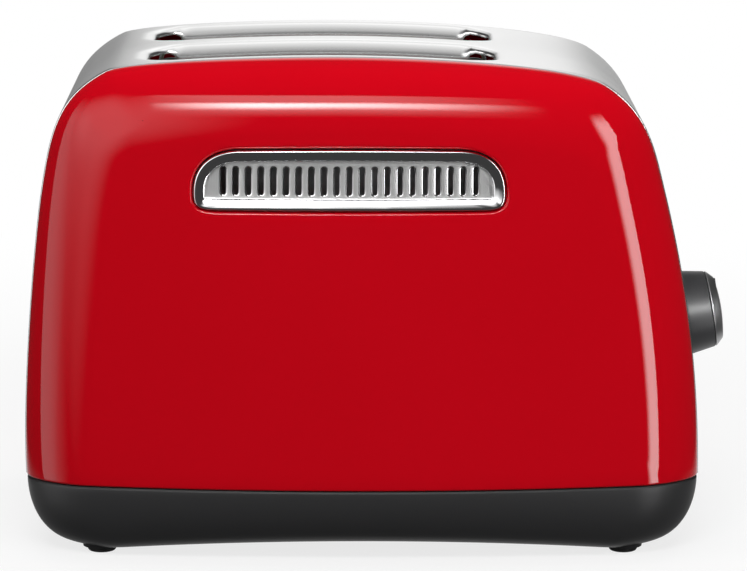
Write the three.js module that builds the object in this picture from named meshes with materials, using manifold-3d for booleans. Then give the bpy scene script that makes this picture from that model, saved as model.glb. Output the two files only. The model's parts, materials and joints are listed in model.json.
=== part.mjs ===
// Electric toaster with two bread slots, a lift lever, a browning dial and three push buttons.
// Millimetres, +Z up. X runs along the slots towards the controls, Y from the front face to the back.
// The driving dimensions come first, then the helpers, then one function for each sub-part.

import * as THREE from 'three';
import { mergeVertices } from 'three/addons/utils/BufferGeometryUtils.js';
import Module from 'manifold-3d';

const wasm = await Module();
wasm.setup();

// Bread slots, which set the length of the body
const slotCentre = -17; // middle of the slots, along the body
const slotLength = 145;
const slotWidth = 40;
const slotPitch = 62;
const slotCorner = 14;
const lipCurl = 6.5; // radius of the rolled lip
const lipDepth = 7.5; // how far the lip hangs below the band
const lipWall = 1;
const chamberMargin = 10; // from a slot's end to the chassis plate
const controlPlate = slotCentre + slotLength / 2 + chamberMargin;
const farPlate = slotCentre - slotLength / 2 - chamberMargin;

// Housing
const seamHeight = 32.5; // table to the line where base and shells meet
const bodyHeight = 209.2; // table to the crown of the band
const farRoom = 42.1; // from the far chassis plate to the far end, at the seam
const controlRoom = 75.8; // from the control chassis plate to the control end, at the seam
const farReach = farRoom - farPlate; // centre to the far end, at the seam
const nearReach = controlPlate + controlRoom; // centre to the control end, at the seam
const crownPlace = -14; // where along the body the band is highest
const bandMargin = 2; // from a slot's lip to the band's edge
const bandHalfWidth = slotPitch / 2 + slotWidth / 2 + lipCurl + bandMargin;
const faceBulge = 33; // from the band's edge to the long face, at the seam
const faceHalfDepth = bandHalfWidth + faceBulge; // centre to the long face, at the seam
const faceBow = 14; // how far the face falls back at its ends
const faceLeanShare = 0.05; // how far the face leans in, for each unit up
const topRound = 33; // height of the shell's rounded top edge
const sideRound = 28; // width of the shell's rounded upright edges
const shellWall = 1.5;
const bandWall = 1.2;
const fit = 0.3; // clearance between pieces that touch
const weldDistance = 0.03; // corners closer than this are one corner
const overrun = 6; // how far a cutter runs past what it cuts
const crownShare = 0.8; // flat part of a screw's or a button's head
const domeShare = 0.7; // height of a dome half way to its middle

// Side outline as cubic curves from the seam to the crown. Each point is a share of the end's
// reach and of the rise above the seam, and the crown closes the last curve.
const farOutlineShares = [
  [1, 0], [1.01, 0.203], [0.965, 0.57], [0.945, 0.6715], [0.9135, 0.836], [0.8875, 0.907],
  [0.747, 0.967], [0.6985, 0.9877], [0.3525, 1],
];
const nearOutlineShares = [
  [1, 0], [0.996, 0.246], [0.96, 0.4455], [0.894, 0.66], [0.8555, 0.779], [0.8425, 0.866],
  [0.704, 0.935], [0.606, 0.9796], [0.1865, 1],
];
const outlineSteps = [4, 5, 4]; // facets on each of the three curves of an end

// Base
const baseStep = 0.6; // how far the base stands back from the shells
const baseTuckEnds = 20; // how far its ends curl under
const baseTuckFaces = 14; // how far its long faces curl under
const baseWall = 2.2;
const baseFloorHeight = 2.6; // table to the underside at the ends
const baseArch = 5.3; // extra height of the underside at mid length
const baseLipHeight = 2; // upright lip inside the shells
const floorVentPitch = 6.3;
const floorVentWidth = 4.2;
const seamGap = 0.5;

// Feet
const footInset = 31.5; // from the control end to the feet, and as far from the middle at both ends
const footInsetDepth = 30; // from the long faces to the feet
const footPlaceX = nearReach - footInset;
const footPlaceY = faceHalfDepth - footInsetDepth;
const footRadius = 6;
const footHeight = 1.9;
const footEdge = 0.7; // rounded lower edge
const footStemRadius = 2.5;
const footStemLength = 4;
const padRadius = 8; // boss of the base around each foot
const baseArchReach = footPlaceX - padRadius / 2; // where the arch meets the level part

// Vent
const ventCentreX = -5.7;
const ventDrop = 47.7; // from the crown to the vent's middle
const ventCentreZ = bodyHeight - ventDrop;
const ventWidth = 127.6;
const ventHeight = 25.1;
const ventRimWidth = 3.6;
const ventRimProud = 1;
const ventRimDepth = 3.6; // from the face to the back of the rim
const ventPlateRecess = 2.5;
const ventPlateWall = 1;
const ventSlotCount = 21;
const ventSlotPitch = 5.16;
const ventSlotWidth = 2.1;
const ventSlotHeight = 11.6;
const ventSlotDrop = 0.8; // the slots lie a little below the rim's middle

// Chassis
const plateWall = 1.2;
const plateTopDrop = 8.5; // plates stop this far below the crown
const plateArchHeight = 23; // lower edge over the crumb tray
const shelfHeight = 27; // top of the shelf that carries the rod and the magnet
const shelfLength = 44;
const shelfHalfWidth = 33;
const topFlangeDrop = 22.2; // from the crown to the flange that holds the rod
const topFlangeHeight = bodyHeight - topFlangeDrop;
const topFlangeLength = 26;
const topFlangeHalfWidth = 12;
const pillarHeight = 14; // screw pillars of the base
const pillarRadius = 5;
const pillarOffset = 7; // from the plate to the pillar
const screwRadius = 1.5;
const screwHeadRadius = 3;
const screwHeadHeight = 1.8;
const screwLength = 12;
const shieldWall = 0.8;
const shieldFoot = 24;

// Heaters and bread guides
const heaterGap = 6; // from a slot's long side to the outer heater
const heaterPlace = slotPitch / 2 + slotWidth / 2 + heaterGap;
const heaterWall = 1;
const heaterFoot = 44;
const heaterHeadDrop = 21.2; // from the crown to the heaters' upper edge
const heaterHead = bodyHeight - heaterHeadDrop;
const heaterTab = 8; // height of the tabs in the chassis plates
const ribbonProud = 0.6;
const ribbonWidth = 2.4;
const ribbonCount = 6;
const guideInset = 2; // from a slot's long side to a guide
const guideSpread = slotWidth / 2 - guideInset;
const guidePivotHeight = 38;
const guideHeadDrop = 11.5; // from the crown to the guides' upper rod
const guideHead = bodyHeight - guideHeadDrop;
const guideRodRadius = 1.1;
const guideWireRadius = 0.8;
const guideWireCount = 6;

// Heat shields stand outside the heaters, and the chassis plates reach past them
const shieldGap = 5; // from the outer heater to the shield
const shieldPlace = heaterPlace + shieldGap;
const plateMargin = 3; // from the shield to the plate's edge
const plateHalfWidth = shieldPlace + plateMargin;
const pillarInset = 6; // from the plate's edge to the screw pillars
const pillarPlaceY = plateHalfWidth - pillarInset;

// Carriage and lever. The racks stand over the magnet at the height that the travel asks for.
const leverTravel = 42;
const magnetHeight = 26; // from the shelf to the magnet's top
const magnetGap = 0.5; // left between magnet and armature, lever down
const armatureDrop = 2.5; // from the racks' upper edge to the underside of the armature
const armatureRise = shelfHeight + magnetHeight + magnetGap + leverTravel; // lever up
const rackHeight = armatureRise + armatureDrop; // upper edge of the bread racks, lever up
const rackDepth = 8;
const rackWall = 1.2;
const rackFingerReach = 7;
const rackFingerCount = 6;
const rodOffset = 18; // from the chassis plate to the guide rod
const rodRadius = 2.5;
const carriageOffset = 8; // from the chassis plate to the carriage bracket
const carriageWall = 1.4;
const carriageMargin = 6; // how far the bracket reaches past the racks
const carriageHalfWidth = slotPitch / 2 + carriageMargin;
const carriageHeight = 18;
const bushRadius = 6.5;
const springRadius = 4.6;
const springWire = 0.6; // radius of the wire
const springCurls = 9;
const leverPlaceY = 25;
const armWidth = 3;
const armDepth = 8;
const handleWidth = 22;
const handleHeight = 18;
const handleGap = 1.9; // from the control end to the handle, at the seam's place
const handleDepth = 8.8;
const handleBack = nearReach + handleGap; // inner face of the handle
const handleFace = handleBack + handleDepth; // outer face of the handle
const handleRound = 3.5;
const bezelHalfWidth = 7.5;
const bezelProud = 0.9;
const bezelDepth = 2.6;
const bezelRim = 2; // above the arm's way, and half of it below
const bezelRise = 3; // from the seam to the bezel
const armClearance = bezelRim / 2;
const bezelLow = seamHeight + bezelRise;
const leverHeight = bezelLow + bezelRim / 2 + armClearance + armDepth / 2 + leverTravel; // lever up
const bezelHigh = leverHeight + armDepth / 2 + armClearance + bezelRim;

// The controls stand above each other, from the seam upwards
const buttonRise = 21.5; // from the seam to the buttons
const buttonHeight = seamHeight + buttonRise;
const dialRise = 39.5; // from the buttons to the dial
const dialHeight = buttonHeight + dialRise;
const lensRise = 30.5; // from the dial to the lens
const lensHeight = dialHeight + lensRise;

// Dial
const dialPlaceY = -22;
const dialBaseRadius = 17.9;
const dialFrontRadius = 16.2;
const dialSkirtDepth = 11;
const dialLift = 0.6; // running gap to the band
const dialWall = 1.6;
const dialHubRadius = 5.5;
const capDepth = 3.3;
const capFaceRadius = 13;
const capDome = 1.3;
const pointerLength = 8;
const pointerWidth = 1.4;
const pointerDepth = 0.6;
const shaftRadius = 3;
const shaftFlat = 2.1; // from the shaft's axis to its flat
const potWidth = 17;
const potBushRadius = 4.6;
const potClearance = 0.9; // from the band's inner side to the rotary control

// Buttons, lens and circuit board
const buttonPitch = 14;
const buttonRadius = 4.4;
const buttonProud = 1.6;
const buttonFlange = 1.2;
const buttonFlangeWall = 1;
const buttonTravel = 1.5;
const buttonStemRadius = 2;
const buttonStemLength = 4.7;
const lensRadius = 2.4;
const lensFlange = 1;
const lensLength = 6;
const boardSetback = 14; // from the band to the board's face
const boardWall = 1.6;
const boardMargin = 14; // from the buttons to the board's lower edge
const boardLow = buttonHeight - boardMargin;
const boardHigh = lensHeight;
const boardFrontReach = 26; // from the dial's middle to the board's front edge
const boardBackReach = 30; // and to its back edge
const boardFront = dialPlaceY - boardFrontReach;
const boardBack = dialPlaceY + boardBackReach;
const boardBracketWall = 1.5;
const boardBracketHeight = 12;

// Crumb tray
const trayHalfWidth = 45;
const trayHeight = 8;
const railWidth = 3; // runners of the base under the tray
const railPlaceY = 38;
const trayWall = 1;
const trayRise = 10.4; // underside of the tray above the table
const trayFrontGap = 13; // from the body's far end to the tray
const trayEndGap = 6; // from the tray's inner end to the control chassis plate
const trayFrontHalfWidth = 48;
const trayFrontLow = 9.6;
const trayFrontHigh = 22;

// Electrical pieces
const magnetOffset = 36; // from the chassis plate to the magnet
const magnetLegPitch = 13;
const magnetLegWidth = 5;
const magnetDepth = 9;
const armatureWall = 3;
const coilWall = 3.2;
const switchSize = [16, 11, 18];
const relaySize = [12, 16, 15];
const relayPlaceY = -26;
const relayRise = 12; // lower side of the relay above the dial's axis
const terminalSize = [26, 12, 11];
const glandInset = 41.3; // from the control end to the cord's gland
const glandPlaceX = nearReach - glandInset;
const glandHeight = 16;
const glandRadius = 5.5;
const glandBore = 3.4;
const glandLength = 17;
const glandFlange = 1.6;
const glandFlangeWall = 3;

const slotFront = -slotPitch / 2;
const slotBack = slotPitch / 2;
const rackLow = rackHeight - rackDepth;
const rodPlace = controlPlate + plateWall + rodOffset;
const carriagePlace = controlPlate + plateWall + carriageOffset;
const carriageLow = rackLow - (carriageHeight - rackDepth) / 2;
const magnetPlace = controlPlate + plateWall + magnetOffset;

const red = new THREE.MeshStandardMaterial({ color: 0xb8041c, roughness: 0.18, metalness: 0.1 });
const black = new THREE.MeshStandardMaterial({ color: 0x232323, roughness: 0.5, metalness: 0 });
const gloss = new THREE.MeshStandardMaterial({ color: 0x1a1a1a, roughness: 0.25, metalness: 0 });
const rubber = new THREE.MeshStandardMaterial({ color: 0x161616, roughness: 0.9, metalness: 0 });
const brushed = new THREE.MeshStandardMaterial({ color: 0xc4c4c2, roughness: 0.34, metalness: 1 });
const chrome = new THREE.MeshStandardMaterial({ color: 0xe2e2e4, roughness: 0.08, metalness: 1 });
const sheet = new THREE.MeshStandardMaterial({ color: 0x9fa3a6, roughness: 0.45, metalness: 1 });
const mica = new THREE.MeshStandardMaterial({ color: 0x9a8f78, roughness: 0.7, metalness: 0 });
const copper = new THREE.MeshStandardMaterial({ color: 0x9c5a2c, roughness: 0.4, metalness: 0.8 });
const green = new THREE.MeshStandardMaterial({ color: 0x1c5a35, roughness: 0.5, metalness: 0 });
const amber = new THREE.MeshStandardMaterial({ color: 0xd98a1e, roughness: 0.2, metalness: 0 });
const pale = new THREE.MeshStandardMaterial({ color: 0xd8d4c8, roughness: 0.5, metalness: 0 });

const toaster = new THREE.Group();

// A closed geometry as a solid that can be joined and cut
function solidOf(geometry) {
  const bare = geometry.clone();
  bare.deleteAttribute('normal');
  bare.deleteAttribute('uv');
  const merged = mergeVertices(bare);
  const corners = merged.index.array;
  const kept = [];
  for (let i = 0; i < corners.length; i += 3) {
    const [a, b, c] = [corners[i], corners[i + 1], corners[i + 2]];
    if (a !== b && b !== c && c !== a) kept.push(a, b, c);
  }
  const vertProperties = new Float32Array(merged.attributes.position.array);
  return new wasm.Manifold(new wasm.Mesh({ numProp: 3, vertProperties, triVerts: new Uint32Array(kept) }));
}

// Draws the ends of very short edges together where the surface stays closed
function weldShortEdges(faces, points) {
  const neighboursOf = (corner) => new Set(faces.filter((face) => face.includes(corner)).flat());
  const isShort = (a, b) => points[a].distanceTo(points[b]) < weldDistance;
  let welded = faces;
  for (const [a, b, c] of faces) {
    for (const [from, to] of [[a, b], [b, c], [c, a]]) {
      if (from < to || !isShort(from, to)) continue;
      const shared = [...neighboursOf(from)].filter((corner) => neighboursOf(to).has(corner));
      // an edge's two faces share two corners besides its own ends, and a third would pinch the surface
      if (shared.length !== 4) continue;
      welded = welded.map((face) => face.map((corner) => (corner === from ? to : corner)));
      return weldShortEdges(welded.filter((face) => new Set(face).size === 3), points);
    }
  }
  return welded;
}

function geometryOf(solid) {
  const mesh = solid.getMesh();
  const source = new THREE.BufferGeometry();
  source.setAttribute('position', new THREE.BufferAttribute(mesh.vertProperties, mesh.numProp));
  const corners = Array.from({ length: mesh.vertProperties.length / mesh.numProp }, (_, i) =>
    new THREE.Vector3().fromBufferAttribute(source.attributes.position, i));
  const faces = [];
  for (let i = 0; i < mesh.triVerts.length; i += 3) faces.push([...mesh.triVerts.slice(i, i + 3)]);
  const welded = weldShortEdges(faces, corners);
  const used = [...new Set(welded.flat())];
  const place = new Map(used.map((corner, i) => [corner, i]));
  const geometry = new THREE.BufferGeometry().setFromPoints(used.map((corner) => corners[corner]));
  geometry.setIndex(welded.flat().map((corner) => place.get(corner)));
  geometry.computeVertexNormals();
  return geometry;
}

function addPiece(name, material, solid, parent = toaster) {
  const mesh = new THREE.Mesh(geometryOf(solid), material);
  mesh.name = name;
  parent.add(mesh);
  return mesh;
}

const join = (first, ...others) => others.reduce((sum, other) => sum.add(other), first);
const cut = (first, ...others) => others.reduce((rest, other) => rest.subtract(other), first);

function block(x0, x1, y0, y1, z0, z1) {
  const box = new THREE.BoxGeometry(x1 - x0, y1 - y0, z1 - z0);
  return solidOf(box.translate((x0 + x1) / 2, (y0 + y1) / 2, (z0 + z1) / 2));
}

function rodX(x0, x1, y, z, radius, sides = 12) {
  const rod = new THREE.CylinderGeometry(radius, radius, x1 - x0, sides).rotateZ(-Math.PI / 2);
  return solidOf(rod.translate((x0 + x1) / 2, y, z));
}

function rodY(y0, y1, x, z, radius, sides = 12) {
  const rod = new THREE.CylinderGeometry(radius, radius, y1 - y0, sides);
  return solidOf(rod.translate(x, (y0 + y1) / 2, z));
}

function rodZ(z0, z1, x, y, radius, sides = 12) {
  const rod = new THREE.CylinderGeometry(radius, radius, z1 - z0, sides).rotateX(Math.PI / 2);
  return solidOf(rod.translate(x, y, (z0 + z1) / 2));
}

// A closed profile of [along, radius] pairs turned about an axis
function turned(profile, sides) {
  const points = profile.map(([along, radius]) => new THREE.Vector2(radius, along));
  if (THREE.ShapeUtils.area(points) < 0) points.reverse();
  return new THREE.LatheGeometry(points, sides);
}

const turnedX = (profile, sides) => solidOf(turned(profile, sides).rotateZ(-Math.PI / 2));
const turnedZ = (profile, sides) => solidOf(turned(profile, sides).rotateX(Math.PI / 2));

// A shape drawn in X and Z, given a thickness along Y
function slabXZ(shape, y0, y1) {
  const slab = new THREE.ExtrudeGeometry(shape, { depth: y1 - y0, bevelEnabled: false, curveSegments: 2 });
  return slab.rotateX(Math.PI / 2).translate(0, y1, 0);
}

// A shape drawn in Y and Z, given a thickness along X
function slabYZ(shape, x0, x1) {
  const slab = new THREE.ExtrudeGeometry(shape, { depth: x1 - x0, bevelEnabled: false, curveSegments: 2 });
  const turn = new THREE.Matrix4().makeBasis(
    new THREE.Vector3(0, 1, 0), new THREE.Vector3(0, 0, 1), new THREE.Vector3(1, 0, 0));
  return slab.applyMatrix4(turn).translate(x0, 0, 0);
}

function meshOf(points, triangles) {
  let volume = 0;
  for (let i = 0; i < triangles.length; i += 3) {
    const [a, b, c] = [points[triangles[i]], points[triangles[i + 1]], points[triangles[i + 2]]];
    volume += a.dot(b.clone().cross(c));
  }
  const turned = volume < 0 ? [...triangles].reverse() : triangles;
  const geometry = new THREE.BufferGeometry().setFromPoints(points);
  return geometry.setIndex(turned);
}

// Rings of equal count joined side by side
function wallBetween(rings) {
  const count = rings[0].length;
  const triangles = [];
  for (let level = 0; level + 1 < rings.length; level += 1) {
    for (let i = 0; i < count; i += 1) {
      const a = level * count + i;
      const b = level * count + (i + 1) % count;
      triangles.push(a, b, b + count, a, b + count, a + count);
    }
  }
  return triangles;
}

// A loft whose two ends are closed by a fan around a middle point
function loftWithFans(rings, firstMiddle, lastMiddle) {
  const count = rings[0].length;
  const points = [...rings.flat(), firstMiddle, lastMiddle];
  const triangles = wallBetween(rings);
  const last = (rings.length - 1) * count;
  for (let i = 0; i < count; i += 1) {
    const next = (i + 1) % count;
    triangles.push(next, i, points.length - 2, last + i, last + next, points.length - 1);
  }
  return solidOf(meshOf(points, triangles));
}

// A loft whose rings mirror front to back, closed at both ends by cross strips
function loftWithStrips(rings) {
  const count = rings[0].length;
  const triangles = wallBetween(rings);
  const last = (rings.length - 1) * count;
  for (let i = 0; i + 1 < count / 2; i += 1) {
    const m = count - 1 - i;
    triangles.push(i + 1, i, m, i + 1, m, m - 1);
    triangles.push(last + i, last + i + 1, last + m - 1, last + i, last + m - 1, last + m);
  }
  return solidOf(meshOf(rings.flat(), triangles));
}

// A loft that closes on itself, like a hoop
function loftHoop(rings) {
  return solidOf(meshOf(rings.flat(), wallBetween([...rings, rings[0]])
    .map((corner) => corner % (rings.length * rings[0].length))));
}

// The side outline, from the far seam over the crown to the near seam, with inward normals
function sideOutline() {
  const rise = bodyHeight - seamHeight;
  const crown = new THREE.Vector2(crownPlace, bodyHeight);
  const curvesOf = (shares, reach) => {
    const points = shares.map(([across, up]) => new THREE.Vector2(reach * across, seamHeight + rise * up));
    points.push(crown);
    return [0, 3, 6].map((i) => new THREE.CubicBezierCurve(...points.slice(i, i + 4)));
  };
  const samples = [];
  const walk = (curve, steps, backwards) => {
    for (let i = 0; i < steps; i += 1) {
      const share = backwards ? 1 - i / steps : i / steps;
      const point = curve.getPoint(share);
      const along = curve.getTangent(share).multiplyScalar(backwards ? -1 : 1);
      samples.push({ x: point.x, z: point.y, nx: along.y, nz: -along.x });
    }
  };
  curvesOf(farOutlineShares, -farReach).forEach((curve, i) => walk(curve, outlineSteps[i], false));
  curvesOf(nearOutlineShares, nearReach).reverse()
    .forEach((curve, i) => walk(curve, outlineSteps[outlineSteps.length - 1 - i], true));
  samples.push({ x: nearReach, z: seamHeight, nx: -1, nz: 0 });
  samples[0].nx = 1;
  samples[0].nz = 0;
  return samples;
}

const outline = sideOutline();

// Where the end wall stands at a height, and how far it leans back there
function endWallAt(height) {
  const wall = outline.filter((sample) => sample.x > 0);
  const above = wall.findLast((sample) => sample.z >= height);
  const below = wall.find((sample) => sample.z < height);
  const share = (height - below.z) / (above.z - below.z);
  const lean = Math.atan2(below.x - above.x, above.z - below.z);
  return { x: below.x + (above.x - below.x) * share, lean };
}

// Height of the band's upper side at a place along the body
function crownAt(x) {
  const right = outline.findIndex((sample) => sample.x > x && sample.z > bodyHeight / 2);
  const [a, b] = [outline[right - 1], outline[right]];
  return a.z + (b.z - a.z) * (x - a.x) / (b.x - a.x);
}

// Steps round the quarter curves of the housing's edges, and places along the long faces
const fineShares = [0, 0.2, 0.4, 0.6, 0.8, 1];
const coarseShares = [0, 0.5, 1];
const faceShares = [0.75, 0.5, 0.25, 0, -0.25, -0.5, -0.75];

// Half depth of the housing's long faces at a place on them
function faceAt(x, z) {
  return faceHalfDepth - faceLeanShare * (z - seamHeight) - faceBow * (x / farReach) ** 2;
}

// One ring of the housing: turn 0 is the band's edge, a quarter turn the start of the face
function housingRing(turn, inset, side) {
  const swing = 1 - Math.cos(turn);
  const narrowShare = 1 - (inset + sideRound * swing) / nearReach;
  const bottom = [1, ...faceShares, -1].map((share) =>
    ({ x: share * nearReach * narrowShare, z: seamHeight - overrun, nx: 0, nz: 0 }));
  return [...outline, ...bottom].map((sample) => {
    const x = sample.x + sample.nx * (inset + sideRound * swing);
    const z = sample.z + sample.nz * (inset + topRound * swing);
    const depth = bandHalfWidth + (faceAt(x, z) - inset - bandHalfWidth) * Math.sin(turn);
    return new THREE.Vector3(x, side * depth, z);
  });
}

// The whole form above the seam, from the front face to the back, drawn in by an inset
function housingForm(inset, turnShares, ringShares) {
  const turns = turnShares.map((share) => share * Math.PI / 2);
  const middleZ = (seamHeight + bodyHeight) / 2;
  const onFace = (x, z, side) => new THREE.Vector3(x, side * (faceAt(x, z) - inset), z);
  const faceRings = (side) => ringShares.map((share) => housingRing(Math.PI / 2, inset, side)
    .map((point) => onFace(point.x * share, middleZ + (point.z - middleZ) * share, side)));
  const half = (side) => [...faceRings(side), ...turns.map((turn) => housingRing(turn, inset, side))];
  return loftWithFans([...half(-1), ...half(1).reverse()], onFace(0, middleZ, -1), onFace(0, middleZ, 1));
}

// A strip that follows the side outline between two insets, as the band does
function outlineStrip(outer, inner, y0, y1) {
  const offset = (inset) => outline.map((sample) =>
    new THREE.Vector2(sample.x + sample.nx * inset, sample.z + sample.nz * inset));
  return solidOf(slabXZ(new THREE.Shape([...offset(outer), ...offset(inner).reverse()]), y0, y1));
}

function roundedOutline(halfWidth, halfHeight, corner, steps) {
  const shape = new THREE.Shape();
  const [x, y] = [halfWidth - corner, halfHeight - corner];
  shape.absarc(x, y, corner, 0, Math.PI / 2);
  shape.absarc(-x, y, corner, Math.PI / 2, Math.PI);
  shape.absarc(-x, -y, corner, Math.PI, Math.PI * 3 / 2);
  shape.absarc(x, -y, corner, Math.PI * 3 / 2, Math.PI * 2);
  return shape.getPoints(steps).slice(0, -1);
}

// A bread slot's ring at a depth below the band, grown past the clear opening
function slotRing(slotY, growth, depth) {
  return roundedOutline(slotLength / 2 + growth, slotWidth / 2 + growth, slotCorner + growth, 3)
    .map((point) => new THREE.Vector3(
      slotCentre + point.x, slotY + point.y, crownAt(slotCentre + point.x) - depth));
}

// The rolled lip as a stack of rings: it starts a little way round the curl, for a clean edge
function slotStack(slotY, extra, top) {
  const turns = [1 / 9, 1 / 3, 2 / 3, 1].map((share) => share * Math.PI / 2);
  const rings = turns.map((turn) =>
    slotRing(slotY, lipCurl * (1 - Math.sin(turn)) + extra, lipCurl * (1 - Math.cos(turn))));
  const bottom = slotRing(slotY, extra, top ? lipDepth + overrun : lipDepth);
  const opening = slotRing(slotY, lipCurl + extra, -overrun / 3);
  const stack = top ? [opening, ...rings, bottom] : [...rings.slice(1), bottom];
  const middles = [top ? -overrun / 3 : lipCurl / 2, top ? lipDepth + overrun : lipDepth]
    .map((depth) => new THREE.Vector3(slotCentre, slotY, crownAt(slotCentre) - depth));
  return loftWithFans(stack, ...middles);
}

function wallGroup(height, y) {
  const group = new THREE.Group();
  const wall = endWallAt(height);
  group.position.set(wall.x, y, height);
  group.rotation.y = -wall.lean;
  toaster.add(group);
  group.updateMatrixWorld(true);
  return group;
}

// A cutter through the end wall, square to it
function wallHole(height, y, radius) {
  const wall = endWallAt(height);
  const hole = new THREE.CylinderGeometry(radius, radius, 2 * overrun, 16).rotateZ(-Math.PI / 2);
  return solidOf(hole.rotateY(-wall.lean).translate(wall.x, y, height));
}

const buttonPlaces = [-1, 0, 1].map((step) => dialPlaceY + step * buttonPitch);

function addTopBand() {
  let band = outlineStrip(0, bandWall, -bandHalfWidth, bandHalfWidth);
  for (const slotY of [slotFront, slotBack]) {
    band = cut(join(band, slotStack(slotY, lipWall, false)), slotStack(slotY, 0, true));
  }
  const holes = [
    wallHole(dialHeight, dialPlaceY, potBushRadius + fit),
    wallHole(lensHeight, dialPlaceY, lensRadius + fit),
    ...buttonPlaces.map((y) => wallHole(buttonHeight, y, buttonRadius + fit)),
  ];
  const leverGap = block(nearReach - lipDepth - overrun, nearReach + overrun,
    leverPlaceY - bezelHalfWidth - fit, leverPlaceY + bezelHalfWidth + fit, bezelLow - fit, bezelHigh + fit);
  addPiece('top_band', brushed, cut(band, ...holes, leverGap));
}

// Half of the vent's outline, from the middle of its lower edge to the middle of its upper one,
// as shares of its half width and half height
const ventCornerShares = [[0.87, -1], [0.99, -1], [1, -0.8], [1, -0.38]];
const ventShoulderShares = [[1, -0.38], [1, 0.25], [0.93, 0.9], [0.72, 0.96]];
const ventEdgeShares = [0, 0.25, 0.5, 0.75];

function ventOutline(inset) {
  const place = ([across, up]) => new THREE.Vector2(across * ventWidth / 2, up * ventHeight / 2);
  const corner = new THREE.CubicBezierCurve(...ventCornerShares.map(place)).getPoints(4);
  const shoulder = new THREE.CubicBezierCurve(...ventShoulderShares.map(place)).getPoints(6).slice(1);
  const between = (from, to) => ventEdgeShares.map((share) => from.clone().lerp(to, share));
  const lower = between(place([0, -1]), corner[0]);
  const upper = between(place([0, 1]), shoulder.at(-1)).reverse();
  const half = [...lower, ...corner, ...shoulder, ...upper];
  const mirrored = half.slice(1, -1).reverse().map((point) => new THREE.Vector2(-point.x, point.y));
  const ring = [...half, ...mirrored];
  return ring.map((point, i) => {
    const before = ring[(i + ring.length - 1) % ring.length];
    const after = ring[(i + 1) % ring.length];
    const along = after.clone().sub(before).normalize();
    return new THREE.Vector2(
      ventCentreX + point.x - along.y * inset, ventCentreZ + point.y + along.x * inset);
  });
}

// Lays a piece drawn with its depth along Y onto the long face, and mirrors it for the back
function ontoFace(geometry, side) {
  const laid = geometry.clone();
  const places = laid.attributes.position;
  for (let i = 0; i < places.count; i += 1) {
    const depth = faceAt(places.getX(i), places.getZ(i)) - places.getY(i);
    places.setY(i, side * depth);
  }
  if (side > 0) laid.index.array.reverse();
  return solidOf(laid);
}

function addVent(name, side) {
  const crest = ventRimWidth / 3;
  const section = [
    [0, ventRimDepth], [0, -ventRimProud / 3], [crest, -ventRimProud],
    [ventRimWidth, ventPlateRecess - fit], [ventRimWidth, ventRimDepth],
  ];
  const rings = section.map(([inset, depth]) =>
    ventOutline(inset).map((point) => new THREE.Vector3(point.x, depth, point.y)));
  const rim = loftHoop(rings);
  addPiece(`vent_rim_${name}`, chrome, ontoFace(geometryOf(rim), side));

  const plate = new THREE.Shape(ventOutline(ventRimWidth + fit));
  const firstSlot = ventCentreX - ventSlotPitch * (ventSlotCount - 1) / 2;
  const radius = ventSlotWidth / 2;
  const reach = ventSlotHeight / 2 - radius;
  for (let i = 0; i < ventSlotCount; i += 1) {
    const x = firstSlot + i * ventSlotPitch;
    const end = (upward) => [0, 1 / 3, 2 / 3, 1].map((share) => new THREE.Vector2(
      x + upward * radius * Math.cos(share * Math.PI),
      ventCentreZ - ventSlotDrop + upward * (reach + radius * Math.sin(share * Math.PI))));
    plate.holes.push(new THREE.Path([...end(1), ...end(-1)]));
  }
  const grille = solidOf(slabXZ(plate, ventPlateRecess, ventPlateRecess + ventPlateWall));
  addPiece(`vent_grille_${name}`, brushed, ontoFace(geometryOf(grille), side));
}

function addSideShells() {
  const outside = housingForm(0, fineShares.toReversed(), [1 / 3, 2 / 3]);
  const inside = housingForm(shellWall, coarseShares.toReversed(), [1 / 2]);
  const shell = cut(outside, inside,
    block(-farReach - overrun, nearReach + overrun, -faceHalfDepth - overrun, faceHalfDepth + overrun,
      seamHeight - 2 * overrun, seamHeight));
  for (const [name, side] of [['front', -1], ['back', 1]]) {
    const [y0, y1] = side < 0 ? [-faceHalfDepth - overrun, -bandHalfWidth - fit]
      : [bandHalfWidth + fit, faceHalfDepth + overrun];
    const half = shell.intersect(block(-farReach - overrun, nearReach + overrun, y0, y1,
      seamHeight - overrun, bodyHeight + overrun));
    const opening = solidOf(slabXZ(new THREE.Shape(ventOutline(-fit)), y0, y1));
    addPiece(`side_shell_${name}`, red, cut(half, opening));
    addVent(name, side);
  }
}

// The plan of the housing at the seam, starting at a corner of the control end
function planOutline(inset, cornerShares) {
  const corner = cornerShares.map((share) => {
    const turn = share * Math.PI / 2;
    return [sideRound * (1 - Math.cos(turn)), Math.sin(turn)];
  });
  const place = (x, share) => [x, bandHalfWidth + (faceAt(x, seamHeight) - bandHalfWidth) * share];
  const near = corner.map(([back, share]) => place(nearReach - back, share));
  const far = corner.map(([back, share]) => place(-farReach + back, share)).reverse();
  const face = faceShares.map((share) => place(share * (nearReach - sideRound), 1));
  const half = [...near, ...face, ...far];
  const [shrinkX, shrinkY] = [1 - inset / nearReach, 1 - inset / faceHalfDepth];
  const back = half.map(([x, y]) => new THREE.Vector2(x * shrinkX, y * shrinkY));
  const front = [...back].reverse().map((point) => new THREE.Vector2(point.x, -point.y));
  return [...back, ...front];
}

function floorAt(x) {
  return baseFloorHeight + baseArch * Math.max(0, 1 - (x / baseArchReach) ** 2);
}

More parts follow.
